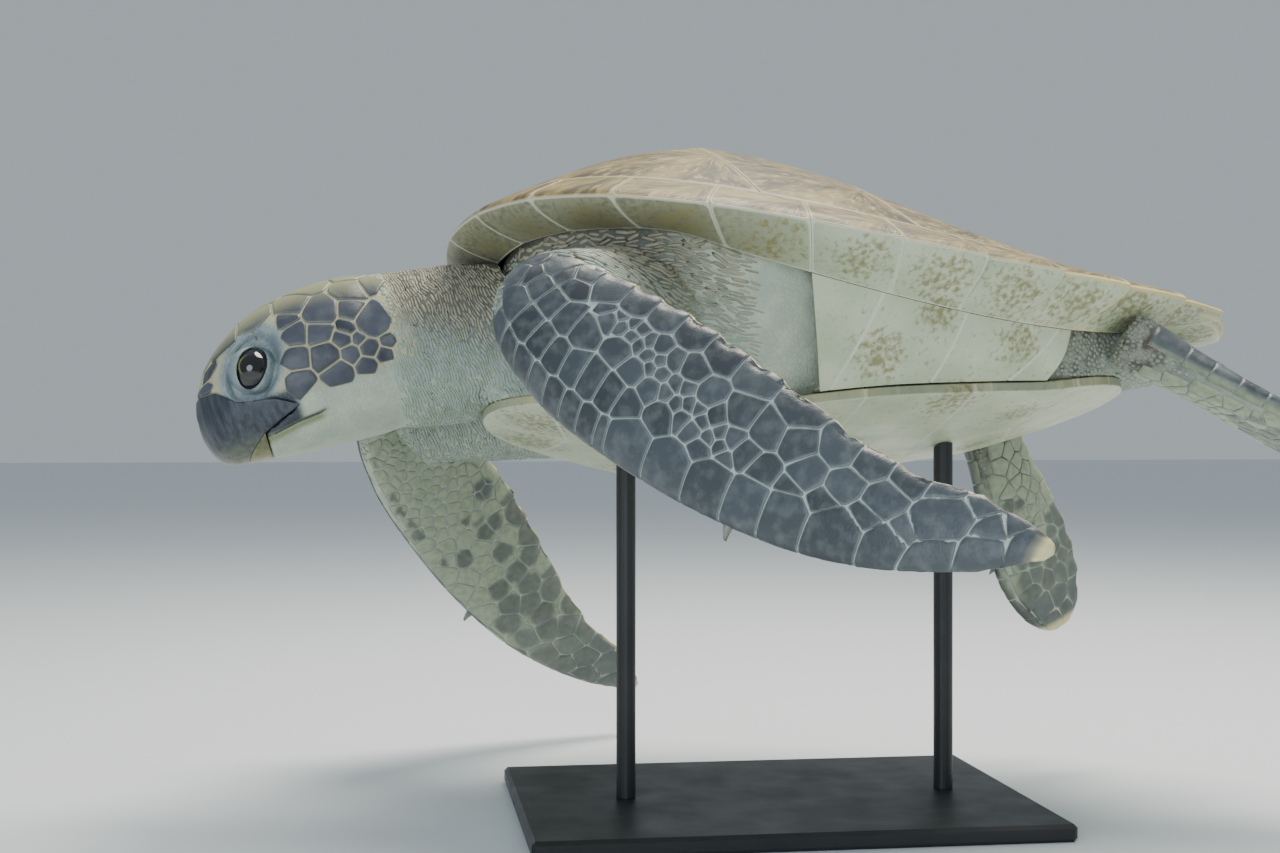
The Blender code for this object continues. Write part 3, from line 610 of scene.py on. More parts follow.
def attribute(tree, name, output="Fac"):
    """What was kept with the mesh under that name."""
    return add(tree, "Attribute", {"attribute_name": name}).outputs[output]


def blend(tree, share, low, high):
    """A mix of two colours, each a hex value or a socket."""
    values, links = {"data_type": "RGBA", "clamp_factor": True}, {}
    for key, colour in ((6, low), (7, high)):
        if isinstance(colour, str):
            values[key] = linear(colour)
        else:
            links[f"i{key}"] = colour
    return add(tree, "Mix", values, i0=share, **links).outputs[2]


def ramp(tree, source, low, high, least=0.0, most=1.0):
    """A value taken from the range low to high onto least to most."""
    return add(tree, "MapRange", {"From Min": low, "From Max": high, "To Min": least,
                                  "To Max": most}, Value=source).outputs[0]


def speckle(tree, size, detail=3.0, **links):
    """Noise with grains of a real size in metres."""
    place = add(tree, "TexCoord").outputs["Object"]
    return add(tree, "TexNoise", {"Scale": 1 / size, "Detail": detail}, Vector=place,
               **links).outputs["Fac"]


def combined(tree, operation, first, second):
    """The sum or product of a socket and another, or a number."""
    if isinstance(second, float):
        return add(tree, "Math", {"operation": operation, 1: second}, i0=first).outputs[0]
    return add(tree, "Math", {"operation": operation}, i0=first, i1=second).outputs[0]


def dress(tree, shader, colour, relief, strength, depth, roughness=None):
    """Joins a colour, a relief of that depth in metres and a roughness to a shader."""
    tree.links.new(colour, shader.inputs["Base Color"])
    tree.links.new(add(tree, "Bump", {"Strength": strength, "Distance": depth},
                       Height=relief).outputs["Normal"], shader.inputs["Normal"])
    if roughness:
        tree.links.new(roughness, shader.inputs["Roughness"])


# What the skin's material follows, kept point by point.
points = spots(skin)
own = seen_from(body, points)
skull = seen_from(head, points)
facing = normals_of(skin)
own_facing = facing @ np.array(body.inverted())[:3, :3].T


def limb_share(limb, values, facing_out):
    """Points in a flipper's axes, their share of its chord, and 1 above to 0 below."""
    spot = seen_from(LIMBS[limb], values)
    side = 1 if limb.endswith("left") else -1
    lead, trail = edges_at(rows_of(limb), spot[:, 0])
    up = facing_out @ np.array(LIMBS[limb])[:3, 2]
    return spot, (side * spot[:, 1] - lead) / (trail - lead), step(-0.15, 0.35, up)


dark, cream = np.zeros(len(points)), np.zeros(len(points))
blade = on_blade(points)
for limb in LIMBS:
    spot, share, top = limb_share(limb, points, facing)
    along, length = spot[:, 0], rows_of(limb)[-1, 0]
    mine = blade & (along > 0.0) & (along < length + 0.01) & (np.abs(spot[:, 2]) < 0.04)
    dark = np.where(mine, top, dark)
    edge = np.maximum(step(0.955, 0.99, share) * step(0.06, 0.08, along),
                      step(length - 0.014, length - 0.006, along))
    cream = np.where(mine, edge, cream)
under_side = step(0.20, 0.75, -own_facing[:, 2])
belly = fall(0.030, 0.085, own[:, 2] + 0.15 * own[:, 0])
throat = fall(-0.062, -0.030, own[:, 0]) * fall(-0.040, -0.012, skull[:, 2])
flank = step(0.120, 0.185, own[:, 0]) * fall(0.40, 0.46, own[:, 0])
pale = np.clip(np.maximum(np.maximum(throat, flank), 0.85 * belly) + 0.3 * under_side, 0, 1)
rim_near = gap_to(rim_tree, points, ~blade & (own[:, 0] > -0.02), 0.12)
# painted shade: the skin is darker close under the shell's edge, towards the front
painted_rim_shade = fall(0.045, 0.105, rim_near) * fall(0.125, 0.195, own[:, 0])
round_skull = np.degrees(np.arctan2(np.abs(skull[:, 1]), skull[:, 2]))
crown_top = (fall(112, 124, round_skull) * fall(0.010, 0.030, skull[:, 0])
             * (np.abs(skull[:, 1]) < 0.085))
groin = near(own, (0.505, -0.150, 0.040), 0.100) + near(own, (0.505, 0.150, 0.040), 0.100)
lids = np.zeros(len(points))
for side in EYE_AT:
    place = seen_from(eye_axes(side), points)
    lids = np.maximum(lids, fall(1.9, 2.5, oval(place[:, 0], place[:, 2]))
                      * (np.abs(place[:, 1]) < 0.032))
off, ahead = above_mouth(skull), -skull[:, 0]
cheek = (step(0.0, 0.0014, off) * step(0.074, 0.082, ahead)
         * fall(-0.026, -0.020, skull[:, 2]) * (ahead < 0.130))
lip = np.exp(-((off + 0.0028) / 0.0022) ** 2) * step(0.058, 0.066, ahead) * (ahead < 0.112)
seam = np.exp(-(off / 0.0010) ** 2) * step(0.056, 0.062, ahead) * (ahead < 0.112)
for name, values in (("dark", dark), ("cream", cream), ("cheek", cheek), ("lip", lip),
                     ("mouth", seam),
                     ("pale", pale), ("shade", painted_rim_shade), ("crown", crown_top),
                     ("groin", np.clip(1.6 * groin, 0, 1)), ("lids", lids),
                     ("neck_top_and_pocket_shade", np.maximum(neck_share(own, skull) * upper_share(own),
                                          0.8 * pocket_share(own, rim_near)
                                          * fall(0.120, 0.190, own[:, 0])))):
    keep(skin, name, values)

# Leathery skin: satin, pebbled, pale below and greyer above, darker on the top of the neck,
# with painted shade in the arm pockets and under the shell's front edge.
skin_paint, tree, shader = material("scaled reptile hide", Roughness=0.50)
pebble = speckle(tree, 0.0026, 3.0)
cloud = ramp(tree, speckle(tree, 0.016, 4.0), 0.38, 0.68)
sides = blend(tree, cloud, "#7d8a84", "#95a198")
belly_tone = blend(tree, cloud, "#a9b7a6", "#bcc6b0")
groin_tone = blend(tree, ramp(tree, speckle(tree, 0.010, 5.0), 0.42, 0.60), "#8d8f80", "#4f453f")
colour = blend(tree, attribute(tree, "pale"), sides, belly_tone)
# The first layer below is painted shade under the shell's front edge. The second darkens the top
# of the neck, which is its own darker colour, and paints shade into the arm pockets.
for layer, over in (("shade", blend(tree, cloud, "#626b69", "#7d8580")), ("neck_top_and_pocket_shade", "#64655b"),
                    ("crown", "#b6b394"), ("lids", blend(tree, cloud, "#7f8d92", "#98a5a4")),
                    ("cheek", blend(tree, cloud, "#323a43", "#454d55")), ("lip", "#84885f"),
                    ("mouth", "#2f3326"), ("groin", groin_tone), ("dark", "#b3bfbd"),
                    ("cream", "#dcd5a8")):
    colour = blend(tree, attribute(tree, layer), colour, over)
creases = add(tree, "TexVoronoi", {"feature": "DISTANCE_TO_EDGE", "Scale": 1 / 0.0042},
              Vector=add(tree, "TexCoord").outputs["Object"]).outputs["Distance"]
dress(tree, shader, colour, combined(tree, "ADD", ramp(tree, creases, 0.0, 0.12),
                                     combined(tree, "MULTIPLY", pebble, 0.5)), 0.5, 0.0007)
skin.data.materials.append(skin_paint)
skin.data.shade_smooth()
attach(skin, "root")
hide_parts(*FLESH)

# ---- the scales ------------------------------------------------------------------------
# Flat horny scales that grow edge to edge in the skin, with pale skin between them. Each is
# its own low crowned solid, sunk a little into the hide.

SINK = 0.0005           # how far a scale's rim starts below the skin


def coat_piece(name, points, faces, uv, finish, shades):
    """One mesh of joined scales. uv is each corner's place on the skin's unwrap, and shades
    its tone, how dark and how cream it is, point by point."""
    data = bpy.data.meshes.new(name)
    data.from_pydata(points, [], faces)
    data.uv_layers.new(name="OFBake").data.foreach_set("uv", np.array(uv, np.float32).ravel())
    made = bpy.data.objects.new(name, data)
    bpy.context.collection.objects.link(made)
    for key, values in zip(("tone", "dark", "cream"), shades):
        keep(made, key, values)
    data.materials.append(finish)
    data.shade_smooth()
    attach(made, "root")
    return made


class Coat:
    """Scales joined into one mesh, with each one's place on an unwrap of the skin."""

    def __init__(self, name):
        self.name, self.points, self.faces = name, [], []
        self.uv, self.tone = [], []

    def grow(self, seed, others, spread, place, unwrap, shade, height, seam, mesh_step):
        """One scale. seed and others are (along, across, reach, tone), spread is the metres
        that one unit of across is worth, place gives a point and its way out, and shade
        how dark and how cream a point is."""
        along, across, reach, tone = seed
        wide = reach * 1.8
        bm = bmesh.new()
        cells = max(2, round(2 * wide / mesh_step))
        bmesh.ops.create_grid(bm, x_segments=cells, y_segments=cells, size=wide)
        borders = []
        for other in others:
            away = Vector((other[0] - along, (other[1] - across) * spread, 0))
            apart = away.length
            if apart < 1e-6 or apart > wide + other[2] * 1.8:
                continue
            border = (apart ** 2 + reach ** 2 - other[2] ** 2) / (2 * apart) - seam / 2
            if border < wide * 1.42:
                borders.append((away / apart, border))
        lip = min(0.0016, reach * 0.35)
        for out, border in borders:
            bmesh.ops.bisect_plane(bm, geom=bm.verts[:] + bm.edges[:] + bm.faces[:], dist=1e-7,
                                   plane_co=out * border, plane_no=out, clear_outer=True)
        if len(bm.faces) < 1:
            bm.free()
            return
        for out, border in borders:
            for share in (0.35, 1.0):
                bmesh.ops.bisect_plane(
                    bm, geom=bm.verts[:] + bm.edges[:] + bm.faces[:], dist=1e-6,
                    plane_co=out * (border - lip * share), plane_no=out)
        bmesh.ops.remove_doubles(bm, verts=bm.verts, dist=0.00003)
        outline = [e for e in bm.edges if e.is_boundary]
        wall = bmesh.ops.extrude_edge_only(bm, edges=outline)["geom"]
        foot = {g for g in wall if isinstance(g, bmesh.types.BMVert)}
        rim = [g for g in wall if isinstance(g, bmesh.types.BMEdge) and g.is_boundary]
        sole = bmesh.ops.holes_fill(bm, edges=rim, sides=0)["faces"]
        foot.update(bmesh.ops.poke(bm, faces=sole)["verts"])
        base = len(self.points)
        soft = 2.2 / lip
        for index, vert in enumerate(bm.verts):
            vert.index = index
            inside = [border - vert.co.dot(out) for out, border in borders]
            margin = lip
            if inside:
                margin = -np.log(sum(exp(-soft * min(d, 0.05)) for d in inside)) / soft
            rise = min(max(margin / lip + 0.25, 0.0), 1.0)
            crown = max(0.0, 1 - (vert.co.length / (1.3 * reach)) ** 2)
            high = -SINK + (height + SINK) * sqrt(1 - (1 - rise) ** 2) + 0.25 * height * crown
            if vert in foot:
                high = -1.6 * SINK
            spot, out = place(along + vert.co.x, across + vert.co.y / spread)
            if spot is None:
                del self.points[base:], self.tone[base:]
                bm.free()
                return
            self.points.append(spot + out * high)
            self.tone.append((tone, max(margin, 0.0) * 100, crown) + shade(
                along + vert.co.x, across + vert.co.y / spread, tone, crown))
        root = unwrap(along, across)
        for face in bm.faces:
            self.faces.append([base + v.index for v in face.verts])
            self.uv.extend((root[0] + 0.0015 * v.co.x / wide, root[1] + 0.0015 * v.co.y / wide)
                           for v in face.verts)
        bm.free()

    def finish(self, finish):
        tone = np.array(self.tone)
        made = coat_piece(self.name, self.points, self.faces, self.uv, finish,
                          (tone[:, :3], tone[:, 3], tone[:, 4]))
        bm = bmesh.new()
        bm.from_mesh(made.data)
        bmesh.ops.remove_doubles(bm, verts=bm.verts, dist=0.00003)
        bmesh.ops.dissolve_degenerate(bm, dist=0.00001, edges=bm.edges)
        bmesh.ops.recalc_face_normals(bm, faces=bm.faces)
        bm.to_mesh(made.data)
        bm.free()
        return made


skin_mesh = bmesh.new()
skin_mesh.from_mesh(skin.data)
skin_tree = BVHTree.FromBMesh(skin_mesh)
skin_mesh.free()


def section_table(limb):
    """For steps along a flipper: half its girth, and its section by share of that."""
    rows_here = rows_of(limb)
    turn = np.linspace(0, pi, 41)
    table = []
    for x in np.linspace(rows_here[0, 0], rows_here[-1, 0], 90):
        z, lead, trail, half = (np.interp(x, rows_here[:, 0], rows_here[:, k])
                                for k in (1, 2, 3, 4))
        share = (1 - np.cos(turn)) / 2
        flat = lead + (trail - lead) * share
        thick = half * np.sin(turn) * (1.25 - 0.5 * share)
        path = np.concatenate([[0], np.cumsum(np.hypot(np.diff(flat), np.diff(thick)))])
        table.append((x, path[-1], path / path[-1], flat, thick, z))
    return table


def blade_place(limb):
    """A function from (metres along, share of the girth from the leading edge, minus below)
    to a point on the skin and its way out, and one that gives half the girth."""
    table = section_table(limb)
    starts = [row[0] for row in table]
    side = 1 if limb.endswith("left") else -1
    axes = LIMBS[limb]
    turned = axes.to_3x3()

    def row_at(along):
        along = min(max(along, starts[0]), starts[-1] - 1e-6)
        index = int((along - starts[0]) / (starts[1] - starts[0]))
        return table[min(index, len(table) - 1)]

    def raw(along, girth):
        _, _, path, flat, thick, z = row_at(along)
        share = min(abs(girth), 1.0)
        sign = 1 if girth >= 0 else -1
        y, t = np.interp(share, path, flat), np.interp(share, path, thick)
        return Vector((along, side * (y + max(abs(girth) - 1, 0) * 0.1), z + sign * t))

    def place(along, girth):
        spot = raw(along, girth)
        before, after = raw(along, girth - 0.03), raw(along, girth + 0.03)
        run = after - before
        out = Vector((0, -run.z, run.y)) * side
        out = out.normalized() if out.length > 1e-9 else Vector((0, 0, 1 if girth > 0 else -1))
        spot, out = axes @ spot, (turned @ out).normalized()
        reach = 0.012
        hit = skin_tree.ray_cast(spot + out * reach, -out, 2 * reach)[0]
        if hit is None or along < 0.06:
            hit = skin_tree.find_nearest(spot)[0]
        if along < 0.06 and (hit - spot).length > 0.010:
            return None, out
        return hit, out

    return place, lambda along: row_at(along)[1], row_at


def girth_share(row, y, upper=True):
    """The share of the girth at a place across the flipper, from its leading edge."""
    share = float(np.interp(y, row[3], row[2]))
    return share if upper else -share


def scatter(fixed, size_at, inside, bounds, tries, random):
    """Fills the bare space between fixed seeds with more, each of the size of its place."""
    seeds = list(fixed)
    for _ in range(tries):
        along = random.uniform(bounds[0], bounds[1])
        over = random.uniform(bounds[2], bounds[3])
        if not inside(along, over):
            continue
        reach = size_at(along, over)
        if all(hypot(along - a, over - b) > 0.86 * (reach + r) for a, b, r in seeds):
            seeds.append((along, over, reach))
    return seeds


def front_upper_seeds(random):
    """Wide plates over the leading edge, long tongues on the trailing edge, a band of small
    ones down the middle that gives way to four even rows towards the tip."""
    edges = (0.126, 0.160, 0.193, 0.228, 0.251, 0.283, 0.316, 0.348, 0.375, 0.402, 0.422)
    lead, trail = (lambda x, k=k: edges_at(FRONT_ROWS, x)[k] for k in (0, 1))
    near_by = lambda: random.uniform(-0.0015, 0.0015)
    seeds = []
    # narrow plates lie across the upper arm, row beside row
    for number in range(-1, 8):
        x = 0.017 * number + 0.004
        seeds.append((x + near_by(), lead(x) + 0.012, 0.0135))
        seeds.append((x + 0.008 + near_by(), lead(x) + 0.037 + near_by(), 0.0130))
        if x < 0.085:
            seeds.append((x + near_by(), lead(x) + 0.060 + near_by(), 0.0115))
        if x < 0.045:
            seeds.append((x + 0.007 + near_by(), lead(x) + 0.081, 0.0110))
    for a, b in zip(edges, edges[1:]):
        x = (a + b) / 2
        seeds.append((x, lead(x) + (0.013 if x < 0.34 else 0.008), 0.0225 if x < 0.3 else 0.016))
    for a, b in zip((-0.020, 0.006) + FRONT_POINTS, (0.006,) + FRONT_POINTS):
        x = (a + b) / 2
        if x < 0.25:
            seeds.append((x, trail(x) - 0.007, 0.0175 if x > 0.06 else 0.0135))
    seeds += [(0.275, -0.006, 0.0130), (0.300, -0.006, 0.0110), (0.326, -0.003, 0.0100),
              (0.351, 0.001, 0.0090), (0.372, 0.003, 0.0085), (0.397, -0.001, 0.0085),
              (0.267, -0.031, 0.0105), (0.293, -0.028, 0.0110), (0.319, -0.024, 0.0115),
              (0.357, -0.017, 0.0170), (0.388, -0.009, 0.0100),
              (0.240, -0.045, 0.0095), (0.262, -0.048, 0.0080), (0.286, -0.045, 0.0105),
              (0.313, -0.040, 0.0110), (0.340, -0.036, 0.0100)]

    def size_at(x, y):
        run = min(max((x - 0.078) / 0.132, 0), 1)
        off = hypot(x - (0.078 + 0.132 * run), y - (0.004 - 0.050 * run))
        return 0.0044 + min(max(off - 0.006, 0) * 0.42, 0.0075)

    inside = lambda x, y: lead(x) + 0.030 < y < trail(x) - 0.014 and 0.070 < x < 0.262
    return scatter(seeds, size_at, inside, (0.070, 0.262, -0.062, 0.010), 9000, random)


def front_lower_seeds(random):
    lead, trail = (lambda x, k=k: edges_at(FRONT_ROWS, x)[k] for k in (0, 1))
    seeds = [((a + b) / 2, trail((a + b) / 2) - 0.006, 0.0140 if b < 0.3 else 0.0100)
             for a, b in zip(FRONT_POINTS, FRONT_POINTS[1:])]
    size_at = lambda x, y: 0.0042 + 0.0068 * step(0.03, 0.28, x) - 0.0015 * step(0.36, 0.41, x)
    inside = lambda x, y: lead(x) + 0.012 < y < trail(x) - 0.010
    return scatter(seeds, size_at, inside, (0.015, 0.412, -0.085, 0.018), 9000, random)


def hind_upper_seeds(random):
    lead, trail = (lambda x, k=k: edges_at(HIND_ROWS, x)[k] for k in (0, 1))
    seeds = [((a + b) / 2, trail((a + b) / 2) - 0.006, 0.0130)
             for a, b in zip(HIND_POINTS, HIND_POINTS[1:])]
    seeds += [(x, lead(x) + 0.006, 0.0115) for x in np.arange(-0.012, 0.175, 0.0225)]
    size_at = lambda x, y: 0.0062 + 0.0030 * step(0.08, 0.16, x)
    inside = lambda x, y: lead(x) + 0.014 < y < trail(x) - 0.012
    return scatter(seeds, size_at, inside, (-0.020, 0.178, -0.045, 0.045), 5000, random)


def horn_scales(name, deep, light, mottle, under, rim, rough=0.40):
    """Dry keratin, dark in the middle with a soft uneven bloom. The rim colour is paler wear on
    the flipper and head scales, and painted shade at the foot of the small hide scales.
    """
    made, tree, shader = material(name, Roughness=rough)
    tone = add(tree, "SeparateXYZ", {}, Vector=attribute(tree, "tone", "Vector"))
    body_tone = blend(tree, tone.outputs[0], deep, light)
    cloud = ramp(tree, speckle(tree, 0.009, 4.0), 0.45, 0.75)
    body_tone = blend(tree, combined(tree, "MULTIPLY", cloud, 0.55), body_tone, mottle)
    pale = blend(tree, ramp(tree, speckle(tree, 0.006, 5.0), 0.40, 0.70), under, "#8d9a7c")
    colour = blend(tree, attribute(tree, "dark"), pale, body_tone)
    # the rim colour near each scale's edge: paler wear on the flipper and head scales, painted
    # shade at the foot of the small hide scales
    colour = blend(tree, ramp(tree, tone.outputs[1], 0.01, 0.10, 0.50, 0.0), colour, rim)
    colour = blend(tree, attribute(tree, "cream"), colour, "#d8cf9c")
    dress(tree, shader, colour, speckle(tree, 0.0016, 3.0), 0.35, 0.0006)
    return made


scale_horn = horn_scales("keratin flipper scales", "#33393f", "#495156", "#6f7779",
                         "#a8b196", "#8f9896")


def flipper_coat(limb, random):
    """Both faces of one flipper. Girth runs from -1 below to 1 above, 0 at the leading edge."""
    front = limb.startswith("front")
    place, girth_of, row_at = blade_place(limb)
    length = rows_of(limb)[-1, 0]
    upper = front_upper_seeds(random) if front else hind_upper_seeds(random)
    lower = front_lower_seeds(random) if front else hind_upper_seeds(random)
    seeds = []
    for found, above in ((upper, True), (lower, False)):
        for x, y, reach in found:
            share = girth_share(row_at(x), y, above)
            if above or front or abs(share) * girth_of(x) > 0.016:
                seeds.append((x, share, reach, random.random()))

    spot_at = girth_share(row_at(0.124), 0.0, False)

    def shade(x, girth, tone, crown):
        run, above = x / length, step(-0.10, 0.02, girth)
        # below, a leading edge with dark patches, a round spot, and a dark net towards the tip
        likely = step(0.22, 0.62, run) * step(0.12, 0.45, abs(girth) + 0.35 * step(0.5, 0.8, run))
        likely = max(likely, 0.45 * (abs(girth) < 0.20))
        filled = step(0.0, 0.28, crown) * (tone < likely)
        off = hypot(x - 0.124, (girth - spot_at) * girth_of(x)) if front else 1.0
        below = max(0.85 * step(0.60, 0.85, run), 0.72 * filled, 0.10,
                    0.85 * fall(0.008, 0.015, off))
        rim = max(step(0.955, 0.99, abs(girth)), step(length - 0.012, length - 0.005, x))
        return float(below + (1 - below) * above), float(rim)

    unwrap = lambda x, girth: (0.05 + 0.9 * (x + 0.06) / (length + 0.07), 0.5 + 0.45 * girth)
    coat = Coat(limb + "_scales")
    for seed in seeds:
        spread = girth_of(seed[0])
        others = [o for o in seeds if o is not seed and abs(o[0] - seed[0]) < 0.07]
        others += [(seed[0], 2 * round(seed[1] / abs(seed[1])) - seed[1], seed[2], 0)]
        coat.grow(seed, others, spread, place, unwrap, shade,
                  0.0011 if front else 0.0009, 0.0010, 0.0045)
    return coat.finish(scale_horn)


coats = [flipper_coat(limb, chance.Random(index + 11)) for index, limb in enumerate(LIMBS)]

# ---- the shell -------------------------------------------------------------------------
# Horny plates over a bony dome and over the flat belly, each grown as its own sheet of
# keratin. They meet in shallow pale seams, and the rim's rear plates end in blunt teeth.

TOOTH_DEEP = 0.0075

def fine_solid(name, levels, round_off, hold=35, turn=180):
    """The CAD solid's shape drawn smooth between its real edges, and those rounded off."""
    bm = solid_copy(name)
    hold_edges(bm, radians(hold))
    hold_corners(bm, radians(turn))
    soft = applied(mesh_piece(name + "_soft", bm, None), type="SUBSURF", levels=levels,
                   render_levels=levels)
    bm = bmesh.new()
    bm.from_mesh(soft.data)
    bpy.data.objects.remove(soft)
    sharp = [e for e in bm.edges if e.is_manifold and e.calc_face_angle() > radians(hold)]
    ends = [v.co.copy() for e in sharp for v in e.verts]
    ends += [(e.verts[0].co + e.verts[1].co) / 2 for e in sharp]
    outline = KDTree(len(ends))
    for index, spot in enumerate(ends):
        outline.insert(spot, index)
    outline.balance()
    if round_off:
        bmesh.ops.bevel(bm, geom=sharp, offset=round_off, offset_type="OFFSET", segments=2,
                        profile=0.6, affect="EDGES", clamp_overlap=True)
    bmesh.ops.remove_doubles(bm, verts=bm.verts, dist=0.00001)
    bmesh.ops.dissolve_degenerate(bm, dist=0.00001, edges=bm.edges)
    bmesh.ops.recalc_face_normals(bm, faces=bm.faces)
    return bm, outline


def groove(bm, at, across, wanted, deep=0.0006, half=0.0014):
    """A shallow rounded groove where a plane cuts the wanted faces of a plate."""
    for offset in (-half, half, 0.0):
        faces = [f for f in bm.faces if wanted(f.calc_center_median())]
        around = list({v for f in faces for v in f.verts}) + list({e for f in faces
                                                                  for e in f.edges})
        cut = bmesh.ops.bisect_plane(bm, geom=around + faces, dist=0.00002,
                                     plane_co=Vector(at) + Vector(across) * offset,
                                     plane_no=across)
    for vert in {g for g in cut["geom_cut"] if isinstance(g, bmesh.types.BMVert)}:
        vert.normal_update()
        vert.co -= vert.normal * deep


def toothed(places, number):
    """A rear rim plate's points, cut back at its front corner so that it ends in a tooth."""
    order = np.argsort(places[:, 0])
    few = len(order) // 6
    front = places[order[:few]].mean(axis=0)
    run = places[order[-few:]].mean(axis=0) - front
    length = np.linalg.norm(run)
    run /= length
    outward = places.mean(axis=0) - np.array((0.36, 0, places[:, 2].mean()))
    outward -= run * (outward @ run)
    outward /= np.linalg.norm(outward)
    along = (places - front) @ run / length
    reach = (places - places.mean(axis=0)) @ outward
    near_edge = step(-0.2, 1.0, reach / reach.max())
    cut = TOOTH_DEEP * min((number - 6) / 3, 1) * np.clip(1 - along, 0, 1) ** 1.5 * near_edge
    return places - outward * cut[:, None]


def horny_plate(name, levels, seams=()):
    """One plate of the shell in place of its CAD solid. seams are (point, way across, side)
    in the body's axes: the side is -1 left, 1 right or 0 both."""
    rim_plate = name.startswith(RIM_PLATES)
    on_belly = name.startswith(("plastron", "bridge"))
    bm, outline = fine_solid(name, levels, 0.0009, hold=42,
                             turn=180 if rim_plate or on_belly else 14)
    bmesh.ops.transform(bm, matrix=body.inverted(), verts=bm.verts)
    for at, across, side in seams:
        groove(bm, at, across, lambda c, s=side: s * c.y >= -0.0001)
    bmesh.ops.dissolve_degenerate(bm, dist=0.00001, edges=bm.edges)
    bm.normal_update()
    places = np.array([v.co[:] for v in bm.verts])
    facing = np.array([v.normal[:] for v in bm.verts])
    edge = np.array([outline.find(body @ v.co)[2] for v in bm.verts])
    if on_belly:
        edge += 0.004
    number = int(name.rsplit("_", 1)[1]) if name.startswith("marginal") else 12
    if rim_plate and name != "nuchal" and number > 6:
        places = toothed(places, number)
        for vert, spot in zip(bm.verts, places):
            vert.co = spot
    for at, across, side in seams:
        off = np.abs((places - np.array(at)) @ np.array(across))
        edge = np.where(side * places[:, 1] >= -0.0001, np.minimum(edge, off), edge)
    bmesh.ops.transform(bm, matrix=body, verts=bm.verts)
    made = mesh_piece(name + "_horn", bm, None)
    keep(made, "edge", edge * 1000)
    keep(made, "under", step(-0.25, 0.25, -facing[:, 2]))
    above = facing[:, 2] > 0.3
    middle, size = places[above].mean(axis=0), np.ptp(places[above], axis=0)
    up = facing[above].mean(axis=0)
    up /= np.linalg.norm(up)
    along = np.array((1.0, 0, 0)) - up[0] * up
    along /= np.linalg.norm(along)
    centre = middle + along * 0.36 * size[0]
    u, v = (places - centre) @ along, (places - centre) @ np.cross(up, along)
    far = np.hypot(u, v)
    keep(made, "ray", np.stack([u / np.maximum(far, 0.004),
                                v / np.maximum(far, 0.004) + sum(map(ord, name)) % 17,
                                far * 5], axis=1))
    below = facing[:, 2] < -0.3
    blot = np.zeros(len(places))
    if rim_plate and name != "nuchal":
        spot = places[below].mean(axis=0) + np.array((0.006, 0, 0))
        blot = fall(0.004, 0.55 * size[0], np.linalg.norm(places - spot, axis=1))
    for at, reach in BLOTS:
        for out in (-1, 1):
            spot = np.array((at[0], at[1] * out, at[2]))
            blot = np.maximum(blot, fall(0.2 * reach, reach,
                                             np.linalg.norm(places - spot, axis=1)))
    keep(made, "blot", blot)
    keep(made, "dusky", fall(0.16, 0.30, places[:, 0]) * (not on_belly))
    worn = step(0.43, 0.50, places[:, 0]) * fall(0.0012, 0.0042, edge)
    outer = step(0.0, 0.6, np.abs(facing[:, 1]) + np.maximum(facing[:, 0], 0))
    keep(made, "cream", worn * outer * rim_plate)
    made.data.materials.append(shell_keratin)
    made.data.shade_smooth()
    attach(made, "root")
    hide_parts(name)


# olive-brown speckled blots on the belly's side plates, in the body's axes
BLOTS = [((0.358, 0.181, 0.061), 0.030), ((0.310, 0.172, 0.031), 0.034),
         ((0.430, 0.145, 0.040), 0.034), ((0.376, 0.120, 0.003), 0.038),
         ((0.060, 0.032, 0.028), 0.045), ((0.140, 0.085, 0.010), 0.040),
         ((0.235, 0.100, -0.004), 0.042), ((0.300, 0.055, -0.014), 0.040),
         ((0.455, 0.060, -0.002), 0.040)]

shell_keratin, tree, shader = material("horny shell plates", Roughness=0.44)
ray = attribute(tree, "ray", "Vector")
streak = add(tree, "TexNoise", {"Scale": 2.6, "Detail": 6.0, "Roughness": 0.66},
             Vector=ray).outputs["Fac"]
fine_streak = add(tree, "TexNoise", {"Scale": 15.0, "Detail": 3.0}, Vector=ray).outputs["Fac"]
edge = attribute(tree, "edge")
above = blend(tree, ramp(tree, streak, 0.42, 0.60), "#473c28", "#94824f")
above = blend(tree, ramp(tree, fine_streak, 0.52, 0.72, 0.0, 0.70), above, "#c9b478")
above = blend(tree, ramp(tree, speckle(tree, 0.030, 4.0), 0.50, 0.75, 0.0, 0.5), above,
              "#6f6a48")
above = blend(tree, ramp(tree, edge, 1.0, 2.8, 0.55, 0.0), above, "#c9c09a")
grain = speckle(tree, 0.0045, 5.0)
below = blend(tree, ramp(tree, speckle(tree, 0.035, 4.0), 0.35, 0.70), "#b5c2a2", "#cdd3b6")
below = blend(tree, attribute(tree, "dusky"), below,
              blend(tree, ramp(tree, grain, 0.35, 0.65), "#77775f", "#9a9b7f"))
blot = add(tree, "Math", {"operation": "MULTIPLY_ADD", 1: 0.22, 2: -0.07},
           i0=attribute(tree, "blot")).outputs[0]
below = blend(tree, ramp(tree, combined(tree, "ADD", grain, blot), 0.52, 0.74, 0.0, 0.85), below,
              "#857c4a")
below = blend(tree, ramp(tree, edge, 0.6, 1.9, 0.80, 0.0), below, "#dcdfc8")
colour = blend(tree, attribute(tree, "under"), above, below)
colour = blend(tree, attribute(tree, "cream"), colour, "#dccf98")
rings = add(tree, "Math", {"operation": "SINE"},
            i0=combined(tree, "MULTIPLY", edge, 2 * pi / 1.9)).outputs[0]
relief = combined(tree, "MULTIPLY", rings, ramp(tree, edge, 2.0, 16.0, 0.16, 0.0))
relief = combined(tree, "ADD", relief, combined(tree, "MULTIPLY", fine_streak, 0.7))
relief = combined(tree, "ADD", relief,
                  combined(tree, "MULTIPLY", speckle(tree, 0.0022, 4.0), 0.5))
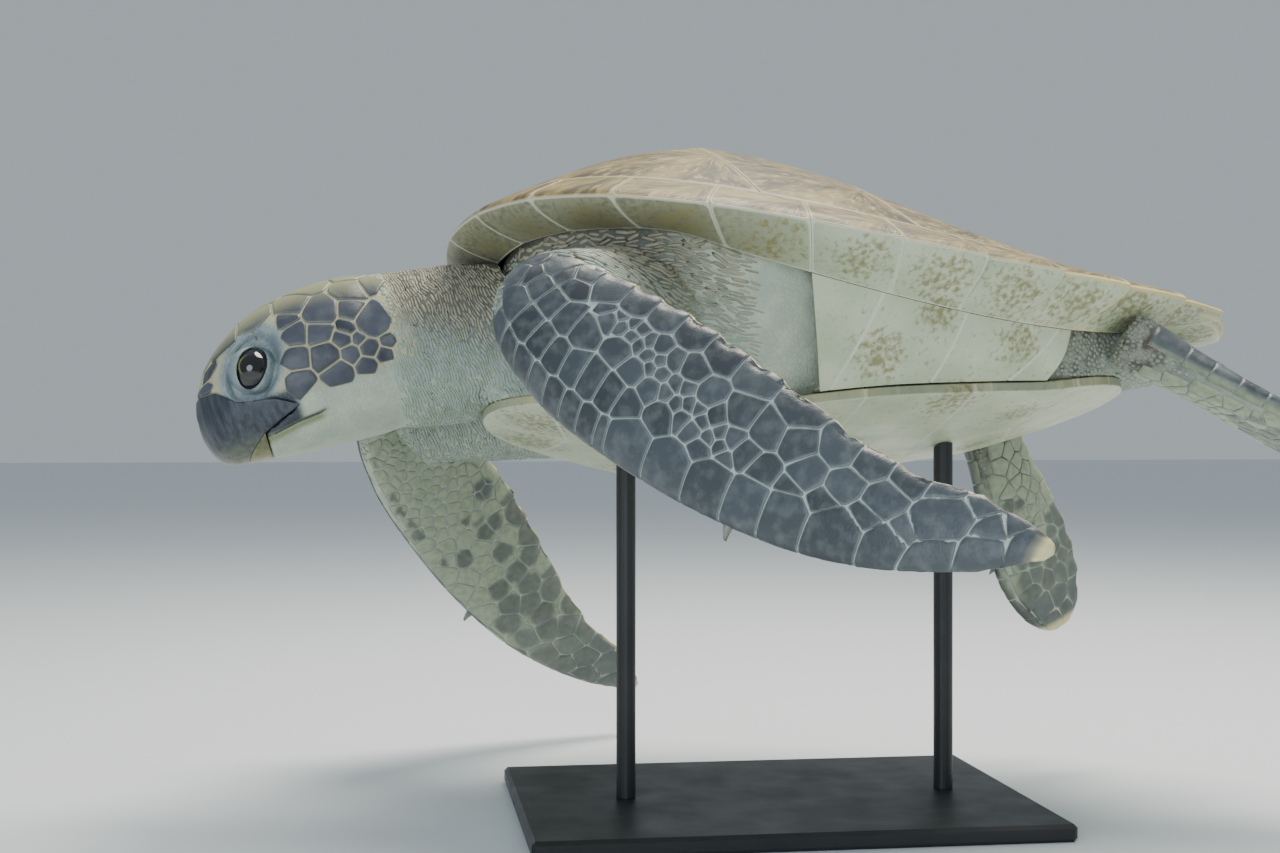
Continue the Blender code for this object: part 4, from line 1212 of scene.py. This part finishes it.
dress(tree, shader, colour, relief, 0.40, 0.0009,
      ramp(tree, speckle(tree, 0.020, 5.0), 0.3, 0.7, 0.34, 0.56))

for part in shell_names:
    horny_plate(part, 3)


def slanting(x_middle, x_side, side):
    """A belly seam that leaves the midline at one place and meets the side at another."""
    run = Vector((x_side - x_middle, side * 0.15, 0)).normalized()
    return (x_middle, 0, 0), Vector((run.y, -run.x, 0)) * side, side


belly_seams = [((0.3, 0, 0), Vector((0, 1, 0)), 0)]
for side in (-1, 1):
    for x_middle, x_side in ((0.088, 0.050), (0.168, 0.196), (0.272, 0.300), (0.372, 0.398),
                             (0.466, 0.505)):
        belly_seams.append(slanting(x_middle, x_side, side))
horny_plate("plastron", 3, belly_seams)
for word, side in (("left", -1), ("right", 1)):
    bridge_seams = []
    for top, foot in (((0.310, 0.193, 0.067), (0.287, 0.171, 0.029)),
                      ((0.387, 0.181, 0.064), (0.363, 0.154, 0.024)),
                      ((0.467, 0.133, 0.051), (0.426, 0.124, 0.017))):
        run = Vector((top[0] - foot[0], side * (top[1] - foot[1]), top[2] - foot[2]))
        across = run.cross(Vector((0, side * 0.75, -0.66))).normalized()
        bridge_seams.append(((top[0], side * top[1], top[2]), across, 0))
    horny_plate("bridge_" + word, 3, bridge_seams)

# ---- the wrinkled hide -----------------------------------------------------------------
# Small narrow scales in close slanting rows over the neck, and in rows beside the shell's
# edge in the arm pockets, with round granules on the shoulders, groin and tail between them.

skin.data.calc_loop_triangles()
tri = np.empty(len(skin.data.loop_triangles) * 3, np.int32)
skin.data.loop_triangles.foreach_get("vertices", tri)
tri = tri.reshape(-1, 3)
first, second, third = (points[tri[:, k]] for k in range(3))
tri_way = np.cross(second - first, third - first)
tri_size = np.linalg.norm(tri_way, axis=1)
tri_way = tri_way / np.maximum(tri_size, 1e-12)[:, None]


def climb(values):
    """How steeply, and which way, a value kept by point rises over each triangle."""
    a, b, c = (values[tri[:, k]][:, None] for k in range(3))
    total = (a * np.cross(tri_way, third - second) + b * np.cross(tri_way, first - third)
             + c * np.cross(tri_way, second - first))
    return total / np.maximum(tri_size, 1e-12)[:, None]


def strewn(share, each, seed):
    """Random places on the skin, about one for each area given, and their weights."""
    draw = np.random.default_rng(seed)
    here = tri_size * share[tri].min(axis=1).clip(0, 1)
    count = int(here.sum() / 2 / each)
    index = draw.choice(len(tri), count, p=here / here.sum())
    mix = draw.dirichlet((1, 1, 1), count)
    return index, mix


def of_points(values, index, mix):
    shape = (len(index), 3) + (1,) * (values.ndim - 1)
    return (values[tri[index]] * mix.reshape(shape)).sum(axis=1)


def spread_out(places, run, side, long, wide):
    """The places that keep clear of each other, long one way and narrow the other."""
    cell = float(long.max())
    boxes, kept = {}, []
    keys = np.floor(places / cell).astype(int)
    for i in range(len(places)):
        x, y, z = keys[i]
        beside = [j for dx in (-1, 0, 1) for dy in (-1, 0, 1) for dz in (-1, 0, 1)
                  for j in boxes.get((x + dx, y + dy, z + dz), ())]
        if beside:
            away = places[beside] - places[i]
            apart = ((away @ run[i]) / long[i]) ** 2 + ((away @ side[i]) / wide[i]) ** 2
            apart += ((away ** 2).sum(axis=1) - (away @ run[i]) ** 2
                      - (away @ side[i]) ** 2) / wide[i] ** 2
            if (apart < 1).any():
                continue
        boxes.setdefault((x, y, z), []).append(i)
        kept.append(i)
    return np.array(kept)


def lens(across, along):
    """One scale's shape: a low cushion with a flat foot, in -1 to 1 both ways."""
    bm = bmesh.new()
    bmesh.ops.create_grid(bm, x_segments=along, y_segments=across, size=1.0)
    sole = bmesh.ops.holes_fill(bm, edges=[e for e in bm.edges if e.is_boundary], sides=0)
    middle = bmesh.ops.poke(bm, faces=sole["faces"])["verts"]
    bmesh.ops.recalc_face_normals(bm, faces=bm.faces)
    shape = np.array([(v.co.x, v.co.y) for v in bm.verts])
    faces = [[v.index for v in f.verts] for f in bm.faces]
    foot = np.array([v in middle for v in bm.verts])
    bm.free()
    return shape, faces, foot


def hide_coat(name, finish, places, way, run, long, wide, high, tones, shape, faces, foot):
    """Copies of one small scale, joined, each turned to its place's own run."""
    side = np.cross(way, run)
    u, v = shape[:, 0], shape[:, 1]
    taper = np.sqrt(1 - 0.86 * u * u)
    rise = np.sqrt(np.clip((1 - u * u) * (1 - v * v), 0, 1)) ** 0.8 * ~foot
    spots_of = (places[:, None] + run[:, None] * (u[None, :, None] * long[:, None, None] / 2)
                + side[:, None] * ((v * taper)[None, :, None] * wide[:, None, None] / 2)
                + way[:, None] * ((rise[None, :, None] * (high[:, None, None] + SINK)) - SINK))
    count, size = spots_of.shape[:2]
    all_faces = [[i * size + k for k in f] for i in range(count) for f in faces]
    own = seen_from(body, places)
    root = np.stack([0.08 + 0.84 * (own[:, 0] + 0.08) / 0.80,
                     0.5 + 0.45 * np.arctan2(own[:, 1], own[:, 2] - 0.06) / pi], axis=1)
    flat = root[:, None] + 0.0015 * shape[None]
    corner = np.concatenate([np.array(f) for f in faces])
    each = np.ones((count, size))
    tone, dark_share, cream_share = tones
    # painted shade: the second value falls to 0 at each scale's foot, where the material mixes in
    # its dark rim colour
    tone = np.stack([each * tone[:, None], each * rise[None] * 0.12, each * rise[None]], axis=2)
    coat_piece(name, spots_of.reshape(-1, 3), all_faces, flat[:, corner], finish,
               (tone.reshape(-1, 3), (each * dark_share[:, None]).ravel(),
                (each * cream_share[:, None]).ravel()))


scaled = KDTree(sum(len(c.data.vertices) for c in coats))
for coat in coats:
    for vert in coat.data.vertices:
        scaled.insert(vert.co, 0)
scaled.balance()
bare = ~under_plates(points, facing, np.ones(len(points), bool))
for i in np.flatnonzero(bare):
    bare[i] = scaled.find(points[i])[2] > 0.0035
rim_gap = gap_to(rim_tree, points, bare, 0.16)
wave = waves(own, bare)
behind_scales = step(-0.004, 0.010, skull[:, 0] - 0.012 * fall(100, 118, round_skull))
neck_rows = (behind_scales * step(-0.085, -0.070, own[:, 0])
             * fall(0.070, 0.115, own[:, 0]))
pocket_rows = pocket_share(own, rim_gap) * fall(0.185, 0.225, own[:, 0])
beside_rim = pocket_rows > neck_rows * fall(0.010, 0.050, own[:, 0])
neck_lens = lens(3, 5)


def rows_coat(name, finish, lie, share, spacing, length, height, tone_of, seed):
    """Scales along the level lines of lie, one row to each spacing."""
    slope = climb(lie)
    steep = np.linalg.norm(slope, axis=1)
    index, mix = strewn(share, 0.22e-6, seed)
    phase = of_points(lie, index, mix) / spacing
    off = phase - np.round(phase)
    good = (np.abs(off) < 0.12) & (steep[index] > 0.25)
    index, mix, off = index[good], mix[good], off[good]
    places = of_points(points, index, mix)
    places = places - slope[index] * (off * spacing / steep[index] ** 2)[:, None]
    way = of_points(facing, index, mix)
    way /= np.linalg.norm(way, axis=1)[:, None]
    run = np.cross(way, slope[index])
    run /= np.linalg.norm(run, axis=1)[:, None]
    draw = np.random.default_rng(seed + 50)
    long = length * draw.uniform(0.75, 1.25, len(index))
    wide = spacing / np.clip(steep[index], 0.5, 1.6)
    kept = spread_out(places, run, np.cross(way, run), long * 0.92, wide * 0.55)
    tones = [t[kept] for t in tone_of(index, mix, draw)]
    hide_coat(name, finish, places[kept], way[kept], run[kept], long[kept] * 1.12,
              wide[kept] * 1.02, height * of_points(share, index, mix)[kept] ** 0.5, tones,
              *neck_lens)


def neck_tones(index, mix, draw):
    top = of_points(upper_share(own), index, mix)
    return draw.random(len(index)), top, np.zeros(len(index))


def pocket_tones(index, mix, draw):
    near_rim = fall(0.025, 0.085, of_points(rim_gap, index, mix))
    return draw.random(len(index)), near_rim, np.zeros(len(index))


# its rim colour paints shade at the foot of each small scale
neck_hide = horn_scales("wrinkled neck hide", "#85826f", "#a5a089", "#b7b198", "#9cada7",
                        "#6c6e64", rough=0.46)
neck_share_here = np.where(bare & ~beside_rim, neck_rows, 0)
pocket_share_here = np.where(bare & beside_rim, pocket_rows, 0)
rows_coat("neck_scales", neck_hide, own[:, 0] + 0.38 * own[:, 2] + 0.0030 * wave,
          neck_share_here, 0.0024, 0.0100, 0.0009, neck_tones, 3)
for word, out in (("left", -1), ("right", 1)):
    rows_coat("pocket_scales_" + word, neck_hide, rim_gap + 0.0036 * wave,
              np.where(own[:, 1] * out > 0, pocket_share_here, 0), 0.0030,
              0.0130, 0.0010, pocket_tones, 7 + out)

# granules on whatever skin is left bare
covered = np.maximum(neck_share_here, pocket_share_here)
off_head = (skull[:, 0] > 0.008) | (np.abs(skull[:, 1]) > 0.085)
granular = np.where(bare & off_head, fall(0.15, 0.35, covered), 0)
granular *= (own[:, 0] < 0.14) | (own[:, 0] > 0.47)
index, mix = strewn(granular, 0.8e-6, 21)
places, way = of_points(points, index, mix), of_points(facing, index, mix)
way /= np.linalg.norm(way, axis=1)[:, None]
run = np.cross(way, np.array((0.3, 0.2, 0.93)))
run /= np.linalg.norm(run, axis=1)[:, None]
draw = np.random.default_rng(22)
wide = draw.uniform(0.0034, 0.0050, len(index))
kept = spread_out(places, run, np.cross(way, run), wide * 1.00, wide * 0.82)
granule_tones = (draw.random(len(kept)), of_points(np.clip(groin, 0, 1), index, mix)[kept],
                 np.zeros(len(kept)))
# its rim colour paints shade at the foot of each granule
granule_hide = horn_scales("granular hide", "#5c5a52", "#8a8876", "#9b9a88", "#a2b0a2",
                           "#59605a", rough=0.46)
hide_coat("granules", granule_hide, places[kept], way[kept], run[kept], wide[kept] * 1.45,
          wide[kept] * 1.25, np.full(len(kept), 0.0006), granule_tones, *lens(3, 3))

# ---- the head's scales -----------------------------------------------------------------
# Large dry plates over the crown and temples, one pair of long prefrontals in front, dark at
# the sides and pale on top, where the paleness is painted sunlight. They stop short of the
# eyelids and of the beak.

# (millimetres ahead of the skull's back, degrees round from its top, size)
SIDE_SCALES = ((72.7, 58.4, 7.5), (69.5, 71.0, 9.4), (43.1, 58.2, 10.4), (48.8, 76.6, 6.9),
               (19.6, 64.2, 6.7), (5.8, 77.0, 12.7), (26.7, 78.0, 4.4), (32.2, 86.8, 5.2),
               (20.7, 89.1, 3.1), (14.4, 99.0, 6.0), (29.7, 99.4, 5.6), (48.5, 96.5, 9.4),
               (73.7, 91.7, 9.8), (76.0, 111.0, 10.0), (42.6, 112.0, 8.9), (19.5, 112.0, 5.6),
               (-1.5, 97.0, 3.3), (4.6, 107.0, 4.0), (136.0, 17.0, 10.5), (96.0, 38.0, 12.0),
               (46.0, 19.0, 14.5), (14.0, 15.0, 11.0), (-4.0, 38.0, 8.0), (16.0, 42.0, 9.0),
               (64.0, 41.0, 9.0), (121.0, 34.0, 8.0), (139.0, 62.0, 6.0), (146.0, 88.0, 5.5))
MIDDLE_SCALES = ((112.0, 0.0, 8.0), (84.0, 0.0, 15.0))
EDGE_SPOTS = ((92.0, 124.0, 8.0), (64.0, 129.0, 8.0), (43.0, 131.0, 8.0), (23.0, 127.0, 6.0),
              (5.0, 122.0, 6.0), (-12.0, 108.0, 6.0), (-17.0, 90.0, 8.0), (-19.0, 70.0, 8.0),
              (-19.0, 50.0, 8.0), (-17.0, 28.0, 8.0), (-14.0, 8.0, 8.0), (104.0, 124.0, 7.0),
              (118.0, 124.0, 7.0), (134.0, 112.0, 6.0), (148.0, 108.0, 6.0),
              (154.0, 60.0, 6.0), (156.0, 20.0, 6.0), (-10.0, 121.0, 6.0),
              (127.0, 86.0, 6.0), (133.0, 106.0, 6.0), (128.0, 68.0, 5.0))
DEGREE_WIDE = 0.00100       # what a degree round the skull is worth in metres


def skull_reach(ahead, angle):
    """How far the skin is from the skull's axis, metres ahead and degrees round it."""
    out = Vector((0, sin(radians(angle)), cos(radians(angle))))
    start = head @ (Vector((-ahead, 0, 0)) + out * 0.11)
    hit = skin_tree.ray_cast(start, -(head.to_3x3() @ out), 0.11)
    return 0.11 - hit[3] if hit[0] is not None else 0.0


def head_place(ahead, angle):
    """The point and way out of a scale there. It bridges the narrow folds of the skin."""
    out = Vector((0, sin(radians(angle)), cos(radians(angle))))
    here = skull_reach(ahead, angle)
    if not here:
        spot = skin_tree.find_nearest(head @ (Vector((-ahead, 0, 0)) + out * 0.010))[0]
        return spot, head.to_3x3() @ out
    around = sorted([here] + [skull_reach(ahead + a, angle + b) for a, b in
                              ((0.003, 0), (-0.003, 0), (0, 3), (0, -3))])
    return (head @ (Vector((-ahead, 0, 0)) + out * max(here, around[2] - 0.0004)),
            head.to_3x3() @ out)


scale_fill = chance.Random(5)
head_seeds, head_edges = [], []
for out in (-1, 1):
    for ahead, angle, size in SIDE_SCALES:
        head_seeds.append((ahead / 1000, out * angle, size / 1000, scale_fill.random()))
    for ahead, angle, size in EDGE_SPOTS:
        head_edges.append((ahead / 1000, out * angle, size / 1000, 0))
    side = "left" if out < 0 else "right"
    for index in range(22):
        turn = 2 * pi * index / 22
        spot = head.inverted() @ (eye_axes(side) @ Vector(
            (2.25 * OPENING[0] * cos(turn), out * 0.016,
             (2.12 if sin(turn) > 0 else 1.96) * OPENING[1] * sin(turn))))
        head_edges.append((-spot.x, degrees(atan2(spot.y, spot.z)), 0.0028, 0))
for ahead, angle, size in MIDDLE_SCALES:
    head_seeds.append((ahead / 1000, angle, size / 1000, scale_fill.random()))


# painted light: the scales are pale on the crown, as if lit from above, and dark at the sides
def head_sides_dark_top_painted_light(ahead, angle, tone, crown):
    return float(step(26, 56, abs(angle))), 0.0


head_horn = horn_scales("head scales with painted sunlit top", "#2c313b", "#474d58", "#5f6468", "#97936f",
                        "#8b8d80", rough=0.38)
head_coat = Coat("head_scales")
for seed in head_seeds:
    others = [o for o in head_seeds + head_edges if o is not seed and abs(o[0] - seed[0]) < 0.06]
    head_coat.grow(seed, others, DEGREE_WIDE, head_place,
                   lambda ahead, angle: (0.1 + 4.5 * (ahead + 0.02), 0.5 + angle / 300),
                   head_sides_dark_top_painted_light, 0.0014, 0.0016, 0.0022)
head_coat.finish(head_horn)

# ---- the eyes --------------------------------------------------------------------------
# Wet dark eyeballs of glass, as a taxidermist sets them: a wide black pupil, a thin brown
# iris with a green gleam at its front, and a dark surround under the lids.

EYEBALL = 0.0190
eye_glass, tree, shader = material("wet eyeball", Roughness=0.07, IOR=1.40, Coat_Weight=1.0,
                                   Coat_Roughness=0.03)
gaze = add(tree, "SeparateXYZ", {}, Vector=attribute(tree, "gaze", "Vector"))
flat = add(tree, "CombineXYZ", {}, i0=gaze.outputs[0], i2=gaze.outputs[2])
ring = add(tree, "VectorMath", {"operation": "LENGTH"}, i0=flat.outputs[0]).outputs["Value"]
fibres = add(tree, "TexNoise", {"Scale": 9.0, "Detail": 4.0},
             Vector=add(tree, "VectorMath", {"operation": "NORMALIZE"},
                        i0=flat.outputs[0]).outputs[0]).outputs["Fac"]
iris = blend(tree, ramp(tree, fibres, 0.35, 0.65), "#141412", "#2e2a20")
gleam = combined(tree, "MULTIPLY", ramp(tree, gaze.outputs[0], -0.26, -0.46),
                 ramp(tree, fibres, 0.3, 0.6, 0.4, 0.9))
iris = blend(tree, gleam, iris, "#7d8a48")
colour = blend(tree, ramp(tree, ring, 0.47, 0.50), "#030405", iris)
colour = blend(tree, ramp(tree, ring, 0.53, 0.57), colour, "#0c1014")
colour = blend(tree, ramp(tree, ring, 0.68, 0.90), colour, "#232a30")
dress(tree, shader, colour, speckle(tree, 0.003), 0.05, 0.0002)
for side, out in (("left", -1), ("right", 1)):
    bm = bmesh.new()
    bmesh.ops.create_uvsphere(bm, u_segments=72, v_segments=48, radius=EYEBALL)
    looks = np.array([(v.co.x, v.co.y * out, v.co.z) for v in bm.verts]) / EYEBALL
    # the clear front of the eye stands a little proud of the ball
    for vert, look in zip(bm.verts, looks):
        if look[1] > 0:
            vert.co.y += out * 0.0006 * fall(0.0, 0.62, hypot(look[0], look[2]))
    bmesh.ops.transform(bm, matrix=eye_axes(side), verts=bm.verts)
    ball = mesh_piece("eyeball_" + side, bm, eye_glass)
    keep(ball, "gaze", looks)
    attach(ball, "root")
    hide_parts("eye_" + side)

# ---- the beak --------------------------------------------------------------------------
# Two horny sheaths over the jawbones. The upper is slate dark with fine upright grooves, the
# lower olive and saw-edged in life, hidden where the mouth is shut.


def beak_horn(name, deep, light, worn, low, high):
    made, tree, shader = material(name, Roughness=0.34)
    run = attribute(tree, "run", "Vector")
    wide = add(tree, "TexNoise", {"Scale": 240.0, "Detail": 5.0, "Roughness": 0.6},
               Vector=run).outputs["Fac"]
    colour = blend(tree, ramp(tree, wide, 0.36, 0.64), deep, light)
    height = add(tree, "SeparateXYZ", {}, Vector=attribute(tree, "place", "Vector"))
    edge = combined(tree, "MULTIPLY", ramp(tree, height.outputs[2], high, low),
                    ramp(tree, speckle(tree, 0.006, 4.0), 0.30, 0.60, 0.35, 1.0))
    grooves = combined(tree, "ADD", wide, combined(tree, "MULTIPLY", speckle(tree, 0.0015), 0.4))
    dress(tree, shader, blend(tree, edge, colour, worn), grooves, 0.5, 0.0006)
    return made


beaks = {"upper_beak": beak_horn("slate beak horn", "#252b34", "#434b55", "#727764", -58, -44),
         "lower_beak": beak_horn("olive beak horn", "#4d5040", "#7b7c5a", "#9c9a6a", -66, -52)}
for part, finish in beaks.items():
    bm, _ = fine_solid(part, 3, 0.0005)
    own = seen_from(head, np.array([v.co[:] for v in bm.verts]))
    sheath = mesh_piece(part + "_horn", bm, finish)
    keep(sheath, "run", own * np.array((1, 1, 0.10)))
    keep(sheath, "place", own * 1000)
    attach(sheath, "root")
    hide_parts(part)

# ---- the claws -------------------------------------------------------------------------
# One blunt hooked claw on the leading edge of each flipper, of the same horn as the beak.

claw_horn = beak_horn("claw horn", "#5a5f5c", "#8e9184", "#c5c2a4", -400, -300)
for part in ("front_claw_left", "front_claw_right", "hind_claw_left", "hind_claw_right"):
    bm, _ = fine_solid(part, 2, 0)
    claw = mesh_piece(part + "_horn", bm, claw_horn)
    own = seen_from(LIMBS[part.replace("claw", "flipper")], spots(claw))
    keep(claw, "run", own * np.array((1, 0.15, 1)))
    keep(claw, "place", own * 1000)
    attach(claw, "root")
    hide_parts(part)

# ---- the stand -------------------------------------------------------------------------
# A flat steel plate and two steel rods, powder coated in satin black. The rods run up into
# the belly, where they are screwed into the cast.

stand_coat, tree, shader = material("satin black powder coat", Metallic=0.0)
shade_of = blend(tree, ramp(tree, speckle(tree, 0.05, 4.0), 0.3, 0.7), "#17191b", "#1f2224")
shade_of = blend(tree, ramp(tree, speckle(tree, 0.0012), 0.62, 0.75, 0.0, 0.5), shade_of,
                 "#2b2e31")
dress(tree, shader, shade_of, speckle(tree, 0.0009, 2.0), 0.22, 0.0003,
      ramp(tree, speckle(tree, 0.04, 5.0), 0.3, 0.7, 0.38, 0.52))
for part in ("stand_base", "stand_rod_front", "stand_rod_rear"):
    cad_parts[part].material_slots[0].material = stand_coat

# ---- the last update -------------------------------------------------------------------
bpy.context.view_layer.update()
